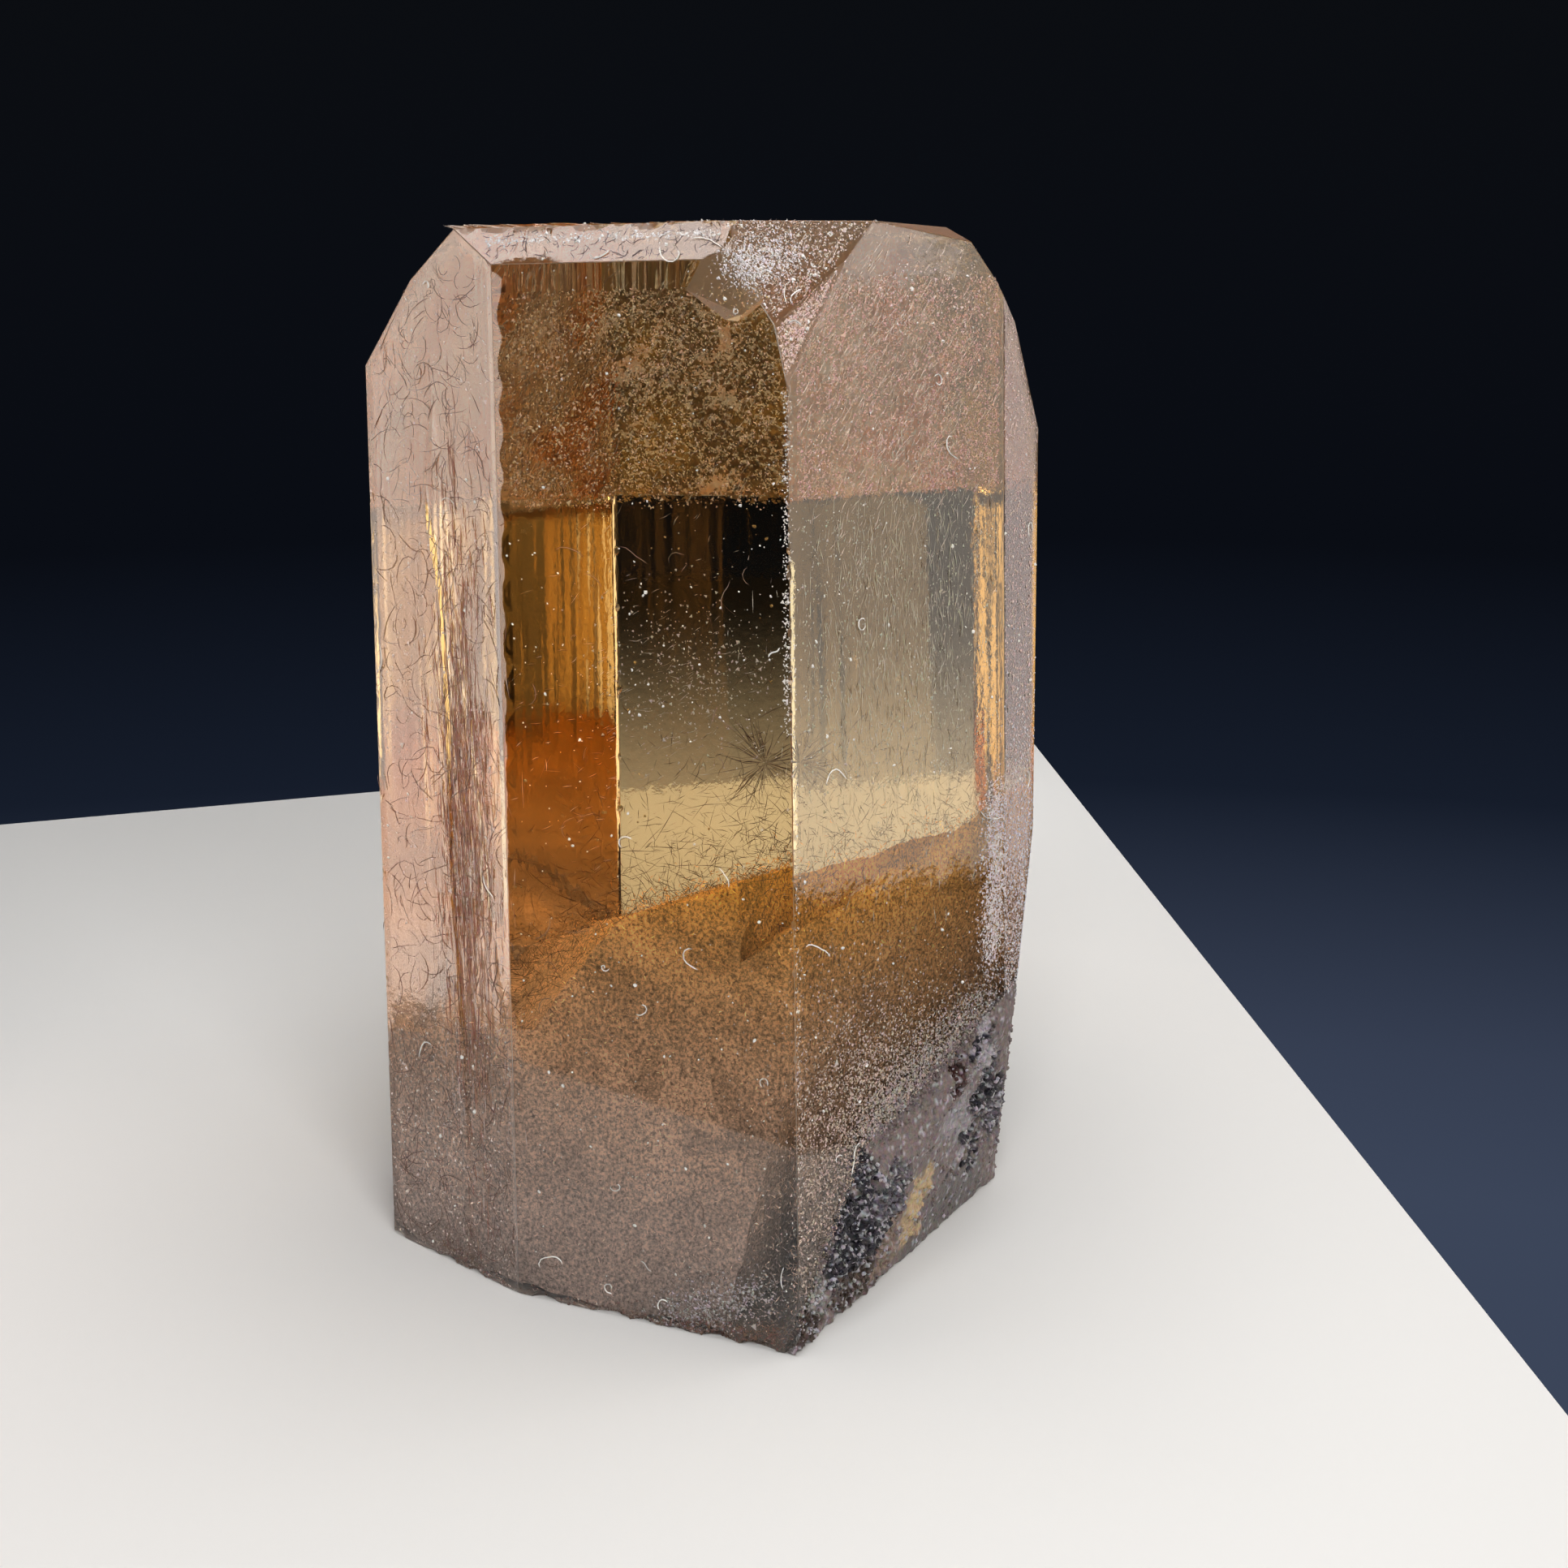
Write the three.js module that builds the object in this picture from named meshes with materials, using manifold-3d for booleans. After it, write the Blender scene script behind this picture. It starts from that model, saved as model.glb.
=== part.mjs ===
// A loose topaz crystal standing on its broken lower end. Millimetres, +Z up, the front towards -Y.
//
// The crystal is one solid: a stout prism of the forms m, l and b with a steep, flat-topped head.
// Growth ledges run down its side faces, its edges are nicked and a corner of the head is chipped.
// Its low right corner is broken away and still carries a thin crust of the rock it grew on,
// which is the second piece.
//
// A face is given by its direction and by its distance from the foot of the front edge.

import * as THREE from "three";
import { ConvexGeometry } from "three/addons/geometries/ConvexGeometry.js";
import { mergeVertices } from "three/addons/utils/BufferGeometryUtils.js";
import Module from "manifold-3d";

const wasm = await Module();
wasm.setup();

// ---- Driving dimensions ------------------------------------------------------------------------

// Unit cell of topaz: only the ratio of the three axes matters here.
const AXIS_A = 4.65;
const AXIS_B = 8.8;
const AXIS_C = 8.4;

const AXIS_TURN = 2.9; // degrees that the a axis points to the right of the front
const LEAN_BACK = 9; // degrees that the c axis leans away from the front
const LEAN_LEFT = 0.74; // degrees that the c axis leans to the left

// The prism: Miller indices, and distance from the foot of the front edge. "flare" is how many
// degrees a face opens out towards the head, as uneven growth leaves it.
const PRISM_FACES = {
  mFront: { hkl: [1, -1, 0], distance: 0 },
  lFront: { hkl: [1, 2, 0], distance: 0 },
  lLeft: { hkl: [1, -2, 0], distance: 2.23 },
  bLeft: { hkl: [0, -1, 0], distance: 9.15 },
  sideRight: { hkl: [1, 4, 0], distance: 2.32 },
  bRight: { hkl: [0, 1, 0], distance: 5.85, flare: 1.1 },
  mBack: { hkl: [-1, 1, 0], distance: 17.35 },
  lBack: { hkl: [-1, -2, 0], distance: 13.65 },
};

// The head in front and on top.
const HEAD_FACES = {
  uFront: { hkl: [1, -1, 1], distance: 10.27 },
  cTop: { hkl: [0, 0, 1], distance: 24.15 },
};

// The pyramids at the back start at this height on the back edge.
const BACK_HEAD_HEIGHT = 17.9;
const BACK_HEAD_FACES = {
  mHeadBack: { hkl: [-2, 2, 3] },
  lHeadBack: { hkl: [-1, -2, 1] },
};

// Rounded shoulders and worn corners. Azimuth counts from the front to the right and polar from
// the c axis, in degrees.
const WORN_FACES = {
  shoulderLeftLow: { azimuth: -87.1, polar: 82, distance: 12.03 },
  shoulderLeft: { azimuth: -87.1, polar: 58.3, distance: 18.94 },
  shoulderLeftTop: { azimuth: -87.1, polar: 45.4, distance: 21.91 },
  shoulderRightLow: { azimuth: 92.9, polar: 73.3, distance: 11.58 },
  shoulderRight: { azimuth: 92.9, polar: 59.7, distance: 15.84 },
  shoulderRightTop: { azimuth: 92.9, polar: 52.6, distance: 17.86 },
  topSlope: { azimuth: 70, polar: 18.5, distance: 23.23 },
  cornerHigh: { azimuth: 22.6, polar: 63, distance: 9.81 },
  cornerLow: { azimuth: 34.9, polar: 79.2, distance: 3.89 },
};

// The bevel over the broken low right corner, and the face that the crust fills the corner up to.
const BREAK_FACES = {
  breakBevel: { azimuth: 85, polar: 96.2, distance: 3.84 },
};
const CRUST_FACE = { azimuth: 63.6, polar: 107.1, distance: -0.03 };

// The bed of the crust: a notch whose rim on the face lFront runs through these points, given
// across and up the face, with walls that go in at this slope.
const BED_RIM = [[0, 0.4], [2.2, 4], [6.6, 6.2]];
const BED_SLOPE = 50; // degrees
const BED_DEPTH = 1.3; // below the crust's own face

const CRUST_GAP = 0.3; // clearance between the crystal and its crust
const CRUST_SKIN = 0.2; // how far the crust stands out past the faces that were there
const CRUST_BODY = 0.3; // how far the crust's body lies below its lumps
const CUTTER_LIFT = 0.05; // how far a cutter starts above the surface that it cuts

// ---- Small helpers -----------------------------------------------------------------------------

const radians = THREE.MathUtils.degToRad;
const vector = (x, y, z) => new THREE.Vector3(x, y, z);

// Repeatable pseudo-random numbers from 0 to 1.
function randomFrom(seed) {
  let state = seed >>> 0;
  return () => {
    state = (Math.imul(state, 1664525) + 1013904223) >>> 0;
    return state / 4294967296;
  };
}

// A number between low and high.
const between = (random, low, high) => low + (high - low) * random();

// A closed geometry as a manifold-3d solid.
function toSolid(geometry) {
  const bare = geometry.clone();
  bare.deleteAttribute("normal");
  bare.deleteAttribute("uv");
  const merged = mergeVertices(bare, 1e-5);
  return new wasm.Manifold(
    new wasm.Mesh({
      numProp: 3,
      vertProperties: new Float32Array(merged.attributes.position.array),
      triVerts: new Uint32Array(merged.index.array),
    }),
  );
}

// A manifold-3d solid as a three.js geometry, moved by the given vector.
function toGeometry(solid, shift) {
  const mesh = solid.getMesh();
  const geometry = new THREE.BufferGeometry();
  geometry.setAttribute("position", new THREE.BufferAttribute(mesh.vertProperties, 3));
  geometry.setIndex(new THREE.BufferAttribute(mesh.triVerts, 1));
  geometry.translate(shift.x, shift.y, shift.z);
  geometry.computeVertexNormals();
  return geometry;
}

const hullSolid = (points) => toSolid(new ConvexGeometry(points));

// ---- Faces -------------------------------------------------------------------------------------

// From the crystal's own axes to the part's frame.
const crystalTurn = new THREE.Matrix4()
  .makeRotationX(-radians(LEAN_BACK))
  .multiply(new THREE.Matrix4().makeRotationY(-radians(LEAN_LEFT)));
const longAxis = vector(0, 0, 1).transformDirection(crystalTurn);

// The outward direction at an azimuth and a polar angle, in the part's frame.
function directionAt(azimuth, polar) {
  const around = radians(azimuth);
  const down = radians(polar);
  return vector(
    Math.sin(around) * Math.sin(down),
    -Math.cos(around) * Math.sin(down),
    Math.cos(down),
  ).transformDirection(crystalTurn);
}

// The outward direction of a face with the given Miller indices.
function directionOf([h, k, l], flare = 0) {
  const [front, right, up] = [h / AXIS_A, k / AXIS_B, l / AXIS_C];
  const azimuth = THREE.MathUtils.radToDeg(Math.atan2(right, front)) + AXIS_TURN;
  const polar = THREE.MathUtils.radToDeg(Math.atan2(Math.hypot(front, right), up)) + flare;
  return directionAt(azimuth, polar);
}

// The point where three planes meet, or null where they don't.
function meet(a, b, c) {
  const bc = b.normal.clone().cross(c.normal);
  const volume = a.normal.dot(bc);
  if (Math.abs(volume) < 1e-6) return null;
  return bc
    .multiplyScalar(a.distance)
    .addScaledVector(c.normal.clone().cross(a.normal), b.distance)
    .addScaledVector(a.normal.clone().cross(b.normal), c.distance)
    .divideScalar(volume);
}

// The convex solid that lies behind all the given planes.
function solidBehind(planes) {
  const inside = (p) => planes.every((q) => q.normal.dot(p) <= q.distance + 1e-7);
  const corners = [];
  for (let i = 0; i < planes.length; i++)
    for (let j = i + 1; j < planes.length; j++)
      for (let k = j + 1; k < planes.length; k++) {
        const corner = meet(planes[i], planes[j], planes[k]);
        if (corner && inside(corner)) corners.push(corner);
      }
  return hullSolid(corners);
}

// All faces as planes { normal, distance }, by name.
function makeFaces() {
  const faces = { floor: { normal: vector(0, 0, -1), distance: 0 } };
  for (const [name, { hkl, distance, flare }] of Object.entries({ ...PRISM_FACES, ...HEAD_FACES }))
    faces[name] = { normal: directionOf(hkl, flare), distance };
  const heightStop = { normal: longAxis, distance: BACK_HEAD_HEIGHT };
  const backFoot = meet(faces.mBack, faces.lBack, heightStop);
  for (const [name, { hkl }] of Object.entries(BACK_HEAD_FACES)) {
    const normal = directionOf(hkl);
    faces[name] = { normal, distance: normal.dot(backFoot) };
  }
  for (const [name, { azimuth, polar, distance }] of Object.entries({ ...WORN_FACES, ...BREAK_FACES }))
    faces[name] = { normal: directionAt(azimuth, polar), distance };
  return faces;
}

const faces = makeFaces();
const crustFace = {
  normal: directionAt(CRUST_FACE.azimuth, CRUST_FACE.polar),
  distance: CRUST_FACE.distance,
};

// A point on a face: millimetres to the right, up the face, and out of it.
function onFace(face, across, up, out = 0) {
  const right = longAxis.clone().cross(face.normal).normalize();
  const upward = face.normal.clone().cross(right);
  return face.normal
    .clone()
    .multiplyScalar(face.distance + out)
    .addScaledVector(right, across)
    .addScaledVector(upward, up);
}

// The faces, each moved out by the same amount except for the floor.
function facesOut(amount) {
  return Object.values(faces).map((face) => ({
    normal: face.normal,
    distance: face.distance + (face === faces.floor ? 0 : amount),
  }));
}

// ---- The bed of the crust ----------------------------------------------------------------------

// A wall of the bed: a plane through two points of the rim, whose normal points into the crystal.
function bedWall(from, to) {
  const face = faces.lFront;
  const start = onFace(face, ...from);
  const along = onFace(face, ...to).sub(start).normalize();
  const intoFace = face.normal.clone().cross(along);
  const slope = radians(BED_SLOPE);
  const normal = intoFace
    .multiplyScalar(Math.sin(slope))
    .addScaledVector(face.normal, -Math.cos(slope));
  return { normal, distance: normal.dot(start) };
}

// The room between the walls, the floor of the bed and the faces, narrowed by a clearance.
function bedSolid(clearance, outward) {
  const floorOfBed = {
    normal: crustFace.normal.clone().negate(),
    distance: BED_DEPTH - crustFace.distance,
  };
  const walls = [bedWall(BED_RIM[0], BED_RIM[1]), bedWall(BED_RIM[1], BED_RIM[2]), floorOfBed];
  const narrowed = walls.map(({ normal, distance }) => ({ normal, distance: distance - clearance }));
  return solidBehind([...facesOut(outward), ...narrowed]);
}

// ---- Cutters -----------------------------------------------------------------------------------

// A long, shallow growth ledge: a groove that tapers out at both ends. One flank is steeper than
// the other by "skew", from -1 to 1.
function ledgeCutter(face, { across, from, to, width, depth, skew, drift }) {
  const points = [];
  const side = width / 2;
  for (const [step, reach] of [[0, 0], [0.25, 1], [0.7, 1], [1, 0]]) {
    const up = from + (to - from) * step;
    const middle = across + drift * step;
    if (reach === 0) {
      points.push(onFace(face, middle, up, CUTTER_LIFT));
      continue;
    }
    const spread = side * (1 + CUTTER_LIFT / depth);
    points.push(onFace(face, middle - spread, up, CUTTER_LIFT));
    points.push(onFace(face, middle + spread, up, CUTTER_LIFT));
    points.push(onFace(face, middle + side * skew, up, -depth));
  }
  return hullSolid(points);
}

// A rhombic etch pit with a pointed floor, longer along the c axis.
function pitCutter(face, { across, up, size, depth }) {
  const rim = size * (1 + CUTTER_LIFT / depth);
  return hullSolid([
    onFace(face, across - rim * 0.45, up, CUTTER_LIFT),
    onFace(face, across + rim * 0.45, up, CUTTER_LIFT),
    onFace(face, across, up - rim, CUTTER_LIFT),
    onFace(face, across, up + rim, CUTTER_LIFT),
    onFace(face, across, up, -depth),
  ]);
}

// A shell-shaped flake: a facetted ball that bites into the surface at the given point.
function flakeCutter(point, outward, radius, bite, detail, random) {
  const ball = new THREE.IcosahedronGeometry(radius, detail);
  ball.rotateX(random() * Math.PI).rotateY(random() * Math.PI).rotateZ(random() * Math.PI);
  const centre = point.clone().addScaledVector(outward, radius - bite);
  ball.translate(centre.x, centre.y, centre.z);
  return toSolid(ball);
}

// Growth ledges spread over a stretch of a face.
function ledgesOn(face, { count, left, right, low, high, length, width, depth, seed }) {
  const random = randomFrom(seed);
  const cutters = [];
  for (let i = 0; i < count; i++) {
    const across = left + ((right - left) * (i + between(random, 0.2, 0.8))) / count;
    const run = between(random, length[0], length[1]);
    const from = between(random, low, Math.max(low, high - run));
    const ledge = {
      across,
      from,
      to: Math.min(from + run, high),
      width: between(random, width[0], width[1]),
      depth: between(random, depth[0], depth[1]),
      skew: between(random, -0.8, 0.8),
      drift: between(random, -0.12, 0.12),
    };
    cutters.push(ledgeCutter(face, ledge));
  }
  return cutters;
}

// Nicks along the edge where two faces meet, from one end plane to another.
function nicksAlong(a, b, startPlane, endPlane, { count, radius, bite, seed, skip = 0 }) {
  const random = randomFrom(seed);
  const start = meet(a, b, startPlane);
  const end = meet(a, b, endPlane);
  const outward = a.normal.clone().add(b.normal).normalize();
  const cutters = [];
  for (let i = 0; i < count; i++) {
    const step = skip + ((1 - skip) * (i + between(random, 0.1, 0.9))) / count;
    const size = between(random, radius[0], radius[1]);
    const point = start.clone().lerp(end, step);
    cutters.push(flakeCutter(point, outward, size, between(random, bite[0], bite[1]), 0, random));
  }
  return cutters;
}

// ---- The crystal -------------------------------------------------------------------------------

function crystalCutters() {
  const f = faces;
  const striae = { length: [2.5, 8], width: [0.1, 0.26], depth: [0.03, 0.07] };
  const finer = { length: [2, 6], width: [0.1, 0.2], depth: [0.02, 0.045] };
  const pits = [
    [f.lLeft, { across: -10.6, up: 20.6, size: 0.42, depth: 0.16 }],
    [f.lLeft, { across: -10.75, up: 13.7, size: 0.26, depth: 0.1 }],
    [f.lLeft, { across: -9.7, up: 17.4, size: 0.16, depth: 0.05 }],
    [f.lLeft, { across: -7.5, up: 9.2, size: 0.2, depth: 0.06 }],
    [f.uFront, { across: -3.1, up: 21.75, size: 0.14, depth: 0.05 }],
    [f.mHeadBack, { across: 1.4, up: 14.2, size: 0.3, depth: 0.08 }],
    [f.mHeadBack, { across: 3.2, up: 16.1, size: 0.22, depth: 0.06 }],
  ];
  const rim = { radius: [0.18, 0.38], bite: [0.05, 0.12] };
  const wear = { radius: [0.12, 0.26], bite: [0.02, 0.06] };
  const foot = { radius: [0.35, 0.75], bite: [0.06, 0.16] };
  const chip = randomFrom(5);
  return [
    // The marked ledge that runs down the left face, and the bundle of striae beside it.
    ledgeCutter(f.lLeft, {
      across: -8.75, from: 9.6, to: 21.3, width: 0.34, depth: 0.11, skew: -0.7, drift: -0.35,
    }),
    ...ledgesOn(f.lLeft, { count: 12, left: -9.6, right: -7.1, low: 3.2, high: 15.5, seed: 11, ...striae }),
    ...ledgesOn(f.lLeft, { count: 6, left: -10.7, right: -7.2, low: 11, high: 21, seed: 12, ...finer }),
    ...ledgesOn(f.bLeft, { count: 5, left: -3, right: 0.5, low: 2, high: 19, seed: 13, ...striae }),
    ...ledgesOn(f.lFront, { count: 9, left: 0.6, right: 7.2, low: 6.5, high: 21.5, seed: 14, ...finer }),
    ...ledgesOn(f.sideRight, { count: 3, left: 7.6, right: 9, low: 7, high: 19, seed: 15, ...finer }),
    ...ledgesOn(f.lBack, { count: 14, left: -13.5, right: -1, low: 3, high: 17.5, seed: 16, ...striae }),
    ...ledgesOn(f.mBack, { count: 9, left: 0, right: 8, low: 2, high: 17.3, seed: 17, ...striae }),
    ...ledgesOn(f.bRight, { count: 5, left: 8, right: 15, low: 5, high: 17, seed: 18, ...finer }),
    ...pits.map(([face, pit]) => pitCutter(face, pit)),
    // The chipped corner of the head.
    flakeCutter(onFace(f.mFront, -0.95, 23.25), f.mFront.normal, 1.7, 0.3, 2, chip),
    flakeCutter(onFace(f.cornerHigh, -0.3, 22.6), f.cornerHigh.normal, 1.2, 0.09, 1, chip),
    // The ragged rim of the top, the worn left edge, and the front edge.
    ...nicksAlong(f.uFront, f.cTop, f.lLeft, f.cornerHigh, { count: 9, seed: 21, ...rim }),
    ...nicksAlong(f.lFront, f.cTop, f.cornerHigh, f.shoulderRightTop, { count: 8, seed: 22, ...rim }),
    ...nicksAlong(f.lLeft, f.shoulderLeft, f.shoulderLeftLow, f.shoulderLeftTop, { count: 6, seed: 23, ...rim }),
    ...nicksAlong(f.lLeft, f.bLeft, f.floor, f.shoulderLeftLow, { count: 12, seed: 24, ...wear }),
    ...nicksAlong(f.mFront, f.lFront, f.floor, f.cornerLow, { count: 9, seed: 25, skip: 0.35, ...wear }),
    ...nicksAlong(f.mBack, f.lBack, f.floor, f.mHeadBack, { count: 6, seed: 26, ...wear }),
    ...nicksAlong(f.mBack, f.bRight, f.floor, f.mHeadBack, { count: 5, seed: 27, ...rim }),
    ...nicksAlong(f.lBack, f.cTop, f.shoulderLeftTop, f.mHeadBack, { count: 5, seed: 28, ...rim }),
    // Flakes off the foot, where the crystal broke from its bed.
    ...nicksAlong(f.mFront, f.floor, f.lLeft, f.lFront, { count: 8, seed: 31, ...foot }),
    ...nicksAlong(f.lLeft, f.floor, f.bLeft, f.mFront, { count: 4, seed: 32, ...foot }),
    ...nicksAlong(f.lBack, f.floor, f.bLeft, f.mBack, { count: 8, seed: 33, ...foot }),
    ...nicksAlong(f.mBack, f.floor, f.lBack, f.bRight, { count: 6, seed: 34, ...foot }),
  ];
}

function makeCrystal() {
  let crystal = solidBehind(Object.values(faces));
  for (const cutter of crystalCutters()) crystal = crystal.subtract(cutter);
  return crystal.subtract(bedSolid(0, 1));
}

// ---- The crust ---------------------------------------------------------------------------------

// One rough lump on a face.
function crustLump(face, { across, up, radius, thick, sunk }, random) {
  const ball = new THREE.IcosahedronGeometry(1, 1);
  ball.deleteAttribute("normal");
  ball.deleteAttribute("uv");
  const lump = mergeVertices(ball, 1e-4);
  const place = lump.attributes.position;
  for (let i = 0; i < place.count; i++) {
    const p = vector(place.getX(i), place.getY(i), place.getZ(i));
    p.multiplyScalar(between(random, 0.8, 1.15));
    const moved = onFace(face, across + p.x * radius, up + p.y * radius, p.z * thick - sunk);
    place.setXYZ(i, moved.x, moved.y, moved.z);
  }
  return toSolid(lump);
}

// A row of lumps on a face, each overlapping the next.
function crustRow(face, { from, to, count, radius, seed }) {
  const random = randomFrom(seed);
  const lumps = [];
  for (let i = 0; i < count; i++) {
    const step = i / (count - 1);
    const lump = {
      across: from[0] + (to[0] - from[0]) * step + between(random, -0.3, 0.3),
      up: from[1] + (to[1] - from[1]) * step + between(random, -0.3, 0.3),
      radius: between(random, radius[0], radius[1]),
      thick: between(random, 0.35, 0.7),
      sunk: between(random, 0.2, 0.45),
    };
    lumps.push(crustLump(face, lump, random));
  }
  return lumps;
}

function makeCrust() {
  const size = { radius: [0.55, 0.95] };
  const body = {
    normal: crustFace.normal,
    distance: crustFace.distance - CRUST_BODY,
  };
  let crust = solidBehind([...facesOut(0), body]);
  const lumps = [
    ...crustRow(crustFace, { from: [0.7, 0.2], to: [9.8, 0.6], count: 9, seed: 41, ...size }),
    ...crustRow(crustFace, { from: [0.8, 1.5], to: [9.9, 1.8], count: 8, seed: 42, ...size }),
    ...crustRow(crustFace, { from: [2.6, 2.7], to: [9.7, 3], count: 6, seed: 43, ...size }),
    ...crustRow(crustFace, { from: [4.4, 3.9], to: [9.2, 4.2], count: 5, seed: 44, ...size }),
    ...crustRow(crustFace, { from: [5.6, 5.2], to: [8.2, 5.4], count: 3, seed: 45, ...size }),
    ...crustRow(faces.lFront, { from: [0.8, 1.6], to: [2.6, 3.6], count: 4, seed: 46, radius: [0.4, 0.6] }),
    ...crustRow(faces.lFront, { from: [3.2, 3.6], to: [6.2, 5.4], count: 5, seed: 47, radius: [0.4, 0.6] }),
    ...crustRow(faces.bRight, { from: [8.6, 0.4], to: [11, 0.4], count: 4, seed: 48, ...size }),
    ...crustRow(faces.bRight, { from: [8.4, 1.6], to: [10.4, 1.8], count: 3, seed: 49, ...size }),
    ...crustRow(faces.bRight, { from: [8, 3], to: [9.8, 3.1], count: 3, seed: 50, ...size }),
  ];
  for (const lump of lumps) crust = crust.add(lump);
  return crust.intersect(bedSolid(CRUST_GAP, CRUST_SKIN));
}

// ---- The part ----------------------------------------------------------------------------------

const crystalSolid = makeCrystal();
const crustSolid = makeCrust();

// The origin is under the middle of the whole part, on the surface that it stands on.
const extent = crystalSolid.add(crustSolid).boundingBox();
const toOrigin = vector(
  -(extent.min[0] + extent.max[0]) / 2,
  -(extent.min[1] + extent.max[1]) / 2,
  -extent.min[2],
);

const topaz = new THREE.MeshStandardMaterial({ color: 0xb27a48, roughness: 0.15, metalness: 0 });
const rock = new THREE.MeshStandardMaterial({ color: 0x3a3433, roughness: 0.85, metalness: 0 });

const crystalMesh = new THREE.Mesh(toGeometry(crystalSolid, toOrigin), topaz);
crystalMesh.name = "topaz_crystal";
const crustMesh = new THREE.Mesh(toGeometry(crustSolid, toOrigin), rock);
crustMesh.name = "matrix_crust";

const part = new THREE.Group();
part.add(crystalMesh, crustMesh);

export default part;
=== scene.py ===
"""Looks of the topaz crystal: a see-through stone with worn faces, on a pale floor.

Everything is worked out in millimetres from the foot of the crystal's front edge, with X to the
right, Y away from the camera and Z up, and moved into the part's frame when a mesh is made.
"""

import itertools
import math
from collections import namedtuple

import bmesh
import bpy
import numpy as np
from mathutils import Matrix, Vector
from mathutils.bvhtree import BVHTree
from mathutils.geometry import delaunay_2d_cdt


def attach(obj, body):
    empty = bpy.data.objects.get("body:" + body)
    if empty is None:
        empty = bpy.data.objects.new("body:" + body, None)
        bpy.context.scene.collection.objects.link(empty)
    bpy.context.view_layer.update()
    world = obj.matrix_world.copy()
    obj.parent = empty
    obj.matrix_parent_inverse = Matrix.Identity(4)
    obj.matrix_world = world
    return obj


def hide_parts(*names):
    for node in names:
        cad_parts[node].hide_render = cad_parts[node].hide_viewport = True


MM = 0.001
FOOT = np.array([2.155, -11.144, 0.0])  # the foot of the front edge, in the part's frame

# ---- Camera ----

CAMERA_FROM_FOOT = np.array([-0.332, -57.966, 31.388])
CAMERA_DOWN = 17.632  # degrees
CAMERA_LENS = 68.94
CAMERA_SENSOR = 36
CAMERA_CLIP = (0.001, 10)  # metres

# ---- Surroundings ----

# The dark backdrop's colour by the sine of the elevation, from low to high.
BACKDROP_LOW = -0.42
BACKDROP_HIGH = 0.1
BACKDROP_SHADES = (
    (0.0, (0.045, 0.06, 0.1)),
    (0.08, (0.037, 0.049, 0.083)),
    (0.23, (0.008, 0.012, 0.023)),
    (0.38, (0.003, 0.004, 0.007)),
    (1.0, (0.004, 0.0045, 0.005)),
)
FLOOR_OUTLINE = ((-45.0, 30.8), (8.5, 46.8), (18.0, -16.0), (-45.0, -16.0))
FLOOR_TOP = -0.02  # just under the part, so that the two don't touch
FLOOR_THICKNESS = 4
FLOOR_COLOUR = (0.84, 0.84, 0.84)
FLOOR_ROUGHNESS = 0.8
# A faint card past the floor's far edge: where it stands, the heights of its edges, and its glow.
CARD = {
    "azimuth": -1, "distance": 62, "width": 22, "top": -0.6, "bottom": -16,
    "colour": (1, 0.98, 1), "radiance": 0.5, "aim": (0, 14, 14),
}
# What a light is hidden from where it shows only in reflections, only through the stone, or only
# by what it lights.
REFLECTED = ("transmission", "diffuse")
THROUGH = ("glossy", "diffuse")
FLOOR_ONLY = ("glossy", "transmission")
# Each light: the point that it faces, its azimuth, elevation and distance from there, its width and
# height, radiance and colour, and the rays that it is hidden from.
Light = namedtuple("Light", "aim azimuth elevation distance size radiance colour hidden_from")
LIGHTS = {
    "left_window": Light((-3, 5, 14), -86, 0, 20, (22, 23.4), 4.5, (1, 0.83, 0.74), REFLECTED),
    "left_glow": Light((-3, 2, 10), -88, -4, 30, (40, 26), 0.27, (1, 0.95, 0.9), ("glossy",)),
    "back_glow": Light((-8.6, 13, 7), 8, -6, 9, (2.5, 13), 1.1, (0.9, 0.97, 1), THROUGH),
    "far_floor": Light((0.5, 41, 0), 0, 90, 11, (13, 9), 1.5, (1, 0.98, 0.94), FLOOR_ONLY),
    "back_high": Light((0, 14, 18), -8, 46, 90, (50, 40), 10, (1, 0.94, 0.88), THROUGH),
    "front_high": Light((0, 3, 12), 172, 38, 80, (40, 30), 12, (1, 0.98, 0.95), ("glossy",)),
    "right_back": Light((6, 7, 14), 41, -8, 50, (16, 26), 1.4, (1, 0.84, 0.8), REFLECTED),
    "right_high": Light((4, 4, 44), 82, 0, 60, (60, 44), 1.5, (1, 0.86, 0.86), REFLECTED),
    "upper_left": Light((-3, 2, 22), -103, 50, 60, (34, 34), 7.5, (1, 0.87, 0.83), REFLECTED),
    "right_wall": Light((4, 4, 19), 85, 0, 60, (60, 44), 1.7, (1, 0.9, 0.78), ()),
    "front_fill": Light((6, 4, 12), 179, 3, 90, (30, 34), 1.15, (1, 0.98, 1), ()),
    "top_soft": Light((0, 5, 0), 25, 78, 80, (60, 60), 3.4, (1, 0.99, 0.98), ()),
}

# ---- Inclusions, dust and crust ----

# The turbid foot: lumps that overlap. Each stays some way behind the right front face and under
# planes, given by height over the foot of the front edge, rise to the right and fall to the back.
CLOUD_LUMPS = (
    (1.4, ((11.2, 0.32, 0.34), (14.3, 1.2, 0.3))),
    (0.3, ((9.8, 0.67, 0.34),)),
    (0.3, ((8.0, 0.1, 0.34),)),
)
CLOUD = {
    "inset": 0.3, "off_ground": 0.05, "mesh": 0.3, "bumps": 0.12, "tint_height": 9.75, "blend": 1.5,
    "low_tint": (0.74, 0.54, 0.46), "high_tint": (0.9, 0.42, 0.07),
    # The next two darken the foot's colour near the ground, where the stone sits on the floor:
    # painted shade.
    "painted_ground_shade": 0.5, "painted_shade_fade": 2.4,
}
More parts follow.
